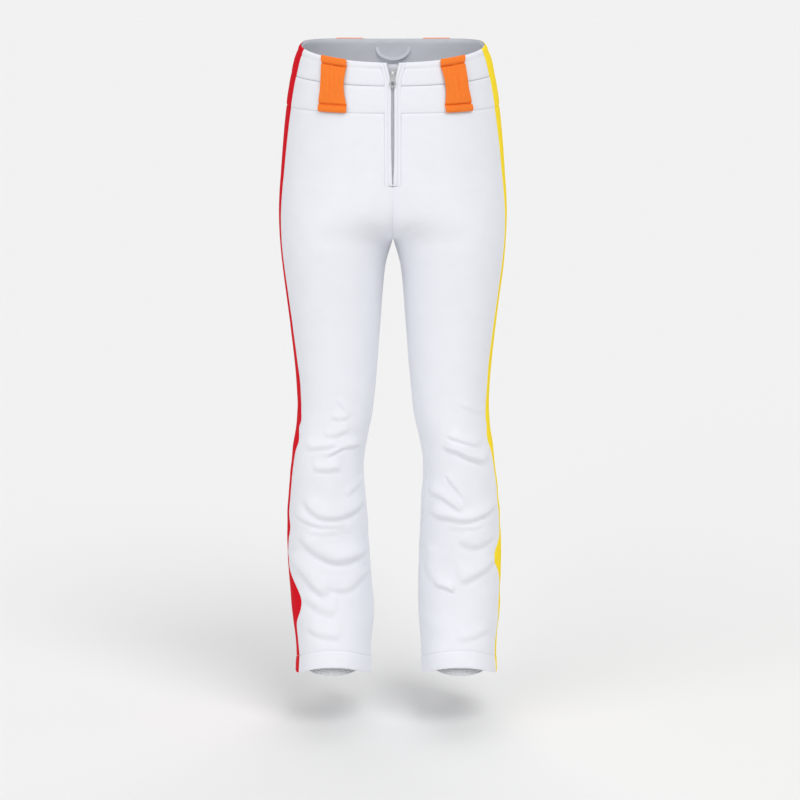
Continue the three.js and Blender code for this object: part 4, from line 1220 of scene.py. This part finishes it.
def round_leg(count):
    return np.linspace(-math.pi, math.pi, count + 1)[:-1]


def ring_grid(side, angle, rows, height_at, inset_at):
    return np.array([
        shell_point(side, angle, height_at(angle, v), inset_at(angle, v))
        for v in np.linspace(0, 1, rows)
    ])


def gathers(angle):
    """The small folds that an elastic draws the gaiter into, from -1 to 1."""
    return np.sin(angle * 38 + 1.3 * np.sin(angle * 5))


def hem_pieces(side, name):
    """The turned-in hem, and the snow gaiter that hangs inside it with its gripper elastic."""
    def facing_height(angle, v):
        return hem_edge(angle) + HEM_FACING_HEIGHT * (1 - v) + 1

    def facing_inset(angle, v):
        uneven = value_noise(angle * 60, np.full(angle.shape, v * 30), 15, 4)
        return HEM_FACING_INSET + 0.3 * uneven

    def gaiter_height(angle, v):
        return GAITER_TOP - GAITER_LENGTH * v + 0 * angle

    def gaiter_inset(angle, v):
        ripple = gathers(angle) * smoothstep(v, 0.35, 1) * 1.3
        uneven = value_noise(angle * 60, np.full(angle.shape, v * 140), 34, 17 + side)
        slack = 1.6 * uneven * math.sin(math.pi * v)
        return share(SHELL + 2.4, GAITER_INSET, v**1.3) + ripple + slack

    def elastic_height(angle, v):
        return GAITER_TOP - GAITER_LENGTH - 0.4 - ELASTIC * v + 0 * angle

    def elastic_inset(angle, v):
        ribs = 0.45 * math.cos(v * 2 * math.pi * 6)
        return GAITER_INSET - 0.3 + ribs + 0.5 * gathers(angle)

    for node, ending, material, columns, rows, height_at, inset_at, held, thick in (
        ("hem_facing", "knit", KNIT, 160, 14, facing_height, facing_inset, "stretched", FACING),
        ("snow_gaiter", "cloth", GAITER, 456, 36, gaiter_height, gaiter_inset, "gathered", 0.6),
        ("gaiter_elastic", "rib", ELASTIC_RIB, 456, 37, elastic_height, elastic_inset, "gathered", 1.1),
    ):
        grid = ring_grid(side, round_leg(columns), rows, height_at, inset_at)
        fabric(
            f"{node}_{name}_{ending}", grid, [material, material], side,
            f"lower_leg_{name}", [f"{node}_{name}"], held, thick=thick, ring=True,
        )


def hem_stitching(side, name):
    angle = np.linspace(-math.pi, math.pi, 400)
    z = hem_edge(angle) + HEM_STITCH
    line = shell_point(side, angle, z, -0.05), outward(side, angle, z)
    place(stitching(f"hem_stitching_{name}", [line], THREAD, 3.0, 1.2), f"lower_leg_{name}")


for side, name, stripe in SIDES:
    leg_panels(side, name, stripe)
    hem_pieces(side, name)
    hem_stitching(side, name)
waist_tiers()
waist_facing()
belt_loops()
fly_welts()
zip_chain()
hardware()
fly_guard()
hanger()


# ---- Camera, floor and light ----

SHOE_HEIGHT = 0.075  # the hem hangs this far above the floor, as when worn
CAMERA_PLACE, CAMERA_DOWN, CAMERA_LENS = (0.0113, -3.4, 0.08), 10.53, 94.46
FLOOR_REACH, FLOOR_GREY = 400.0, 0.825
SKY_STRENGTH, BACKDROP_GREY = 0.43, 0.887
LIGHTS = (  # name, azimuth, elevation, strength, angle
    ("key", 28, 50, 1.35, 34),
    ("fill", -42, 30, 0.85, 50),
    ("rear", 170, 46, 0.78, 60),
)


def studio():
    scene = bpy.context.scene
    camera = bpy.data.objects.new("camera", bpy.data.cameras.new("camera"))
    scene.collection.objects.link(camera)
    camera.location = CAMERA_PLACE
    camera.rotation_euler = (math.radians(90 - CAMERA_DOWN), 0, 0)
    camera.data.lens = CAMERA_LENS
    scene.camera = camera

    floor_mesh = bpy.data.meshes.new("floor")
    height = cad_box[0].z - SHOE_HEIGHT
    signs = ((-1, -1), (1, -1), (1, 1), (-1, 1))
    corners = [(x * FLOOR_REACH, y * FLOOR_REACH, height) for x, y in signs]
    floor_mesh.from_pydata(corners, [], [(0, 1, 2, 3)])
    floor = bpy.data.objects.new("floor", floor_mesh)
    scene.collection.objects.link(floor)
    material, _, shader = nodes_of("studio_floor")
    shader.inputs["Base Color"].default_value = (*[FLOOR_GREY] * 3, 1)
    shader.inputs["Roughness"].default_value = 1.0
    shader.inputs["Specular IOR Level"].default_value = 0.0
    floor_mesh.materials.append(material)

    world = bpy.data.worlds.new("studio")
    world.use_nodes = True
    tree = world.node_tree
    sky = tree.nodes["Background"]
    sky.inputs["Color"].default_value = (1, 1, 1, 1)
    sky.inputs["Strength"].default_value = SKY_STRENGTH
    seen = add_node(tree, "ShaderNodeBackground", Color=(*[BACKDROP_GREY] * 3, 1), Strength=1.0)
    rays = tree.nodes.new("ShaderNodeLightPath")
    mixed = tree.nodes.new("ShaderNodeMixShader")
    tree.links.new(rays.outputs["Is Camera Ray"], mixed.inputs["Fac"])
    tree.links.new(sky.outputs["Background"], mixed.inputs[1])
    tree.links.new(seen.outputs["Background"], mixed.inputs[2])
    tree.links.new(mixed.outputs["Shader"], tree.nodes["World Output"].inputs["Surface"])
    scene.world = world
    scene.view_settings.view_transform = "Standard"

    for name, azimuth, elevation, strength, spread in LIGHTS:
        light = bpy.data.lights.new(name, "SUN")
        light.energy = strength
        light.angle = math.radians(spread)
        lamp = bpy.data.objects.new(name, light)
        lamp.rotation_euler = (math.radians(90 - elevation), 0, math.radians(azimuth))
        scene.collection.objects.link(lamp)


studio()
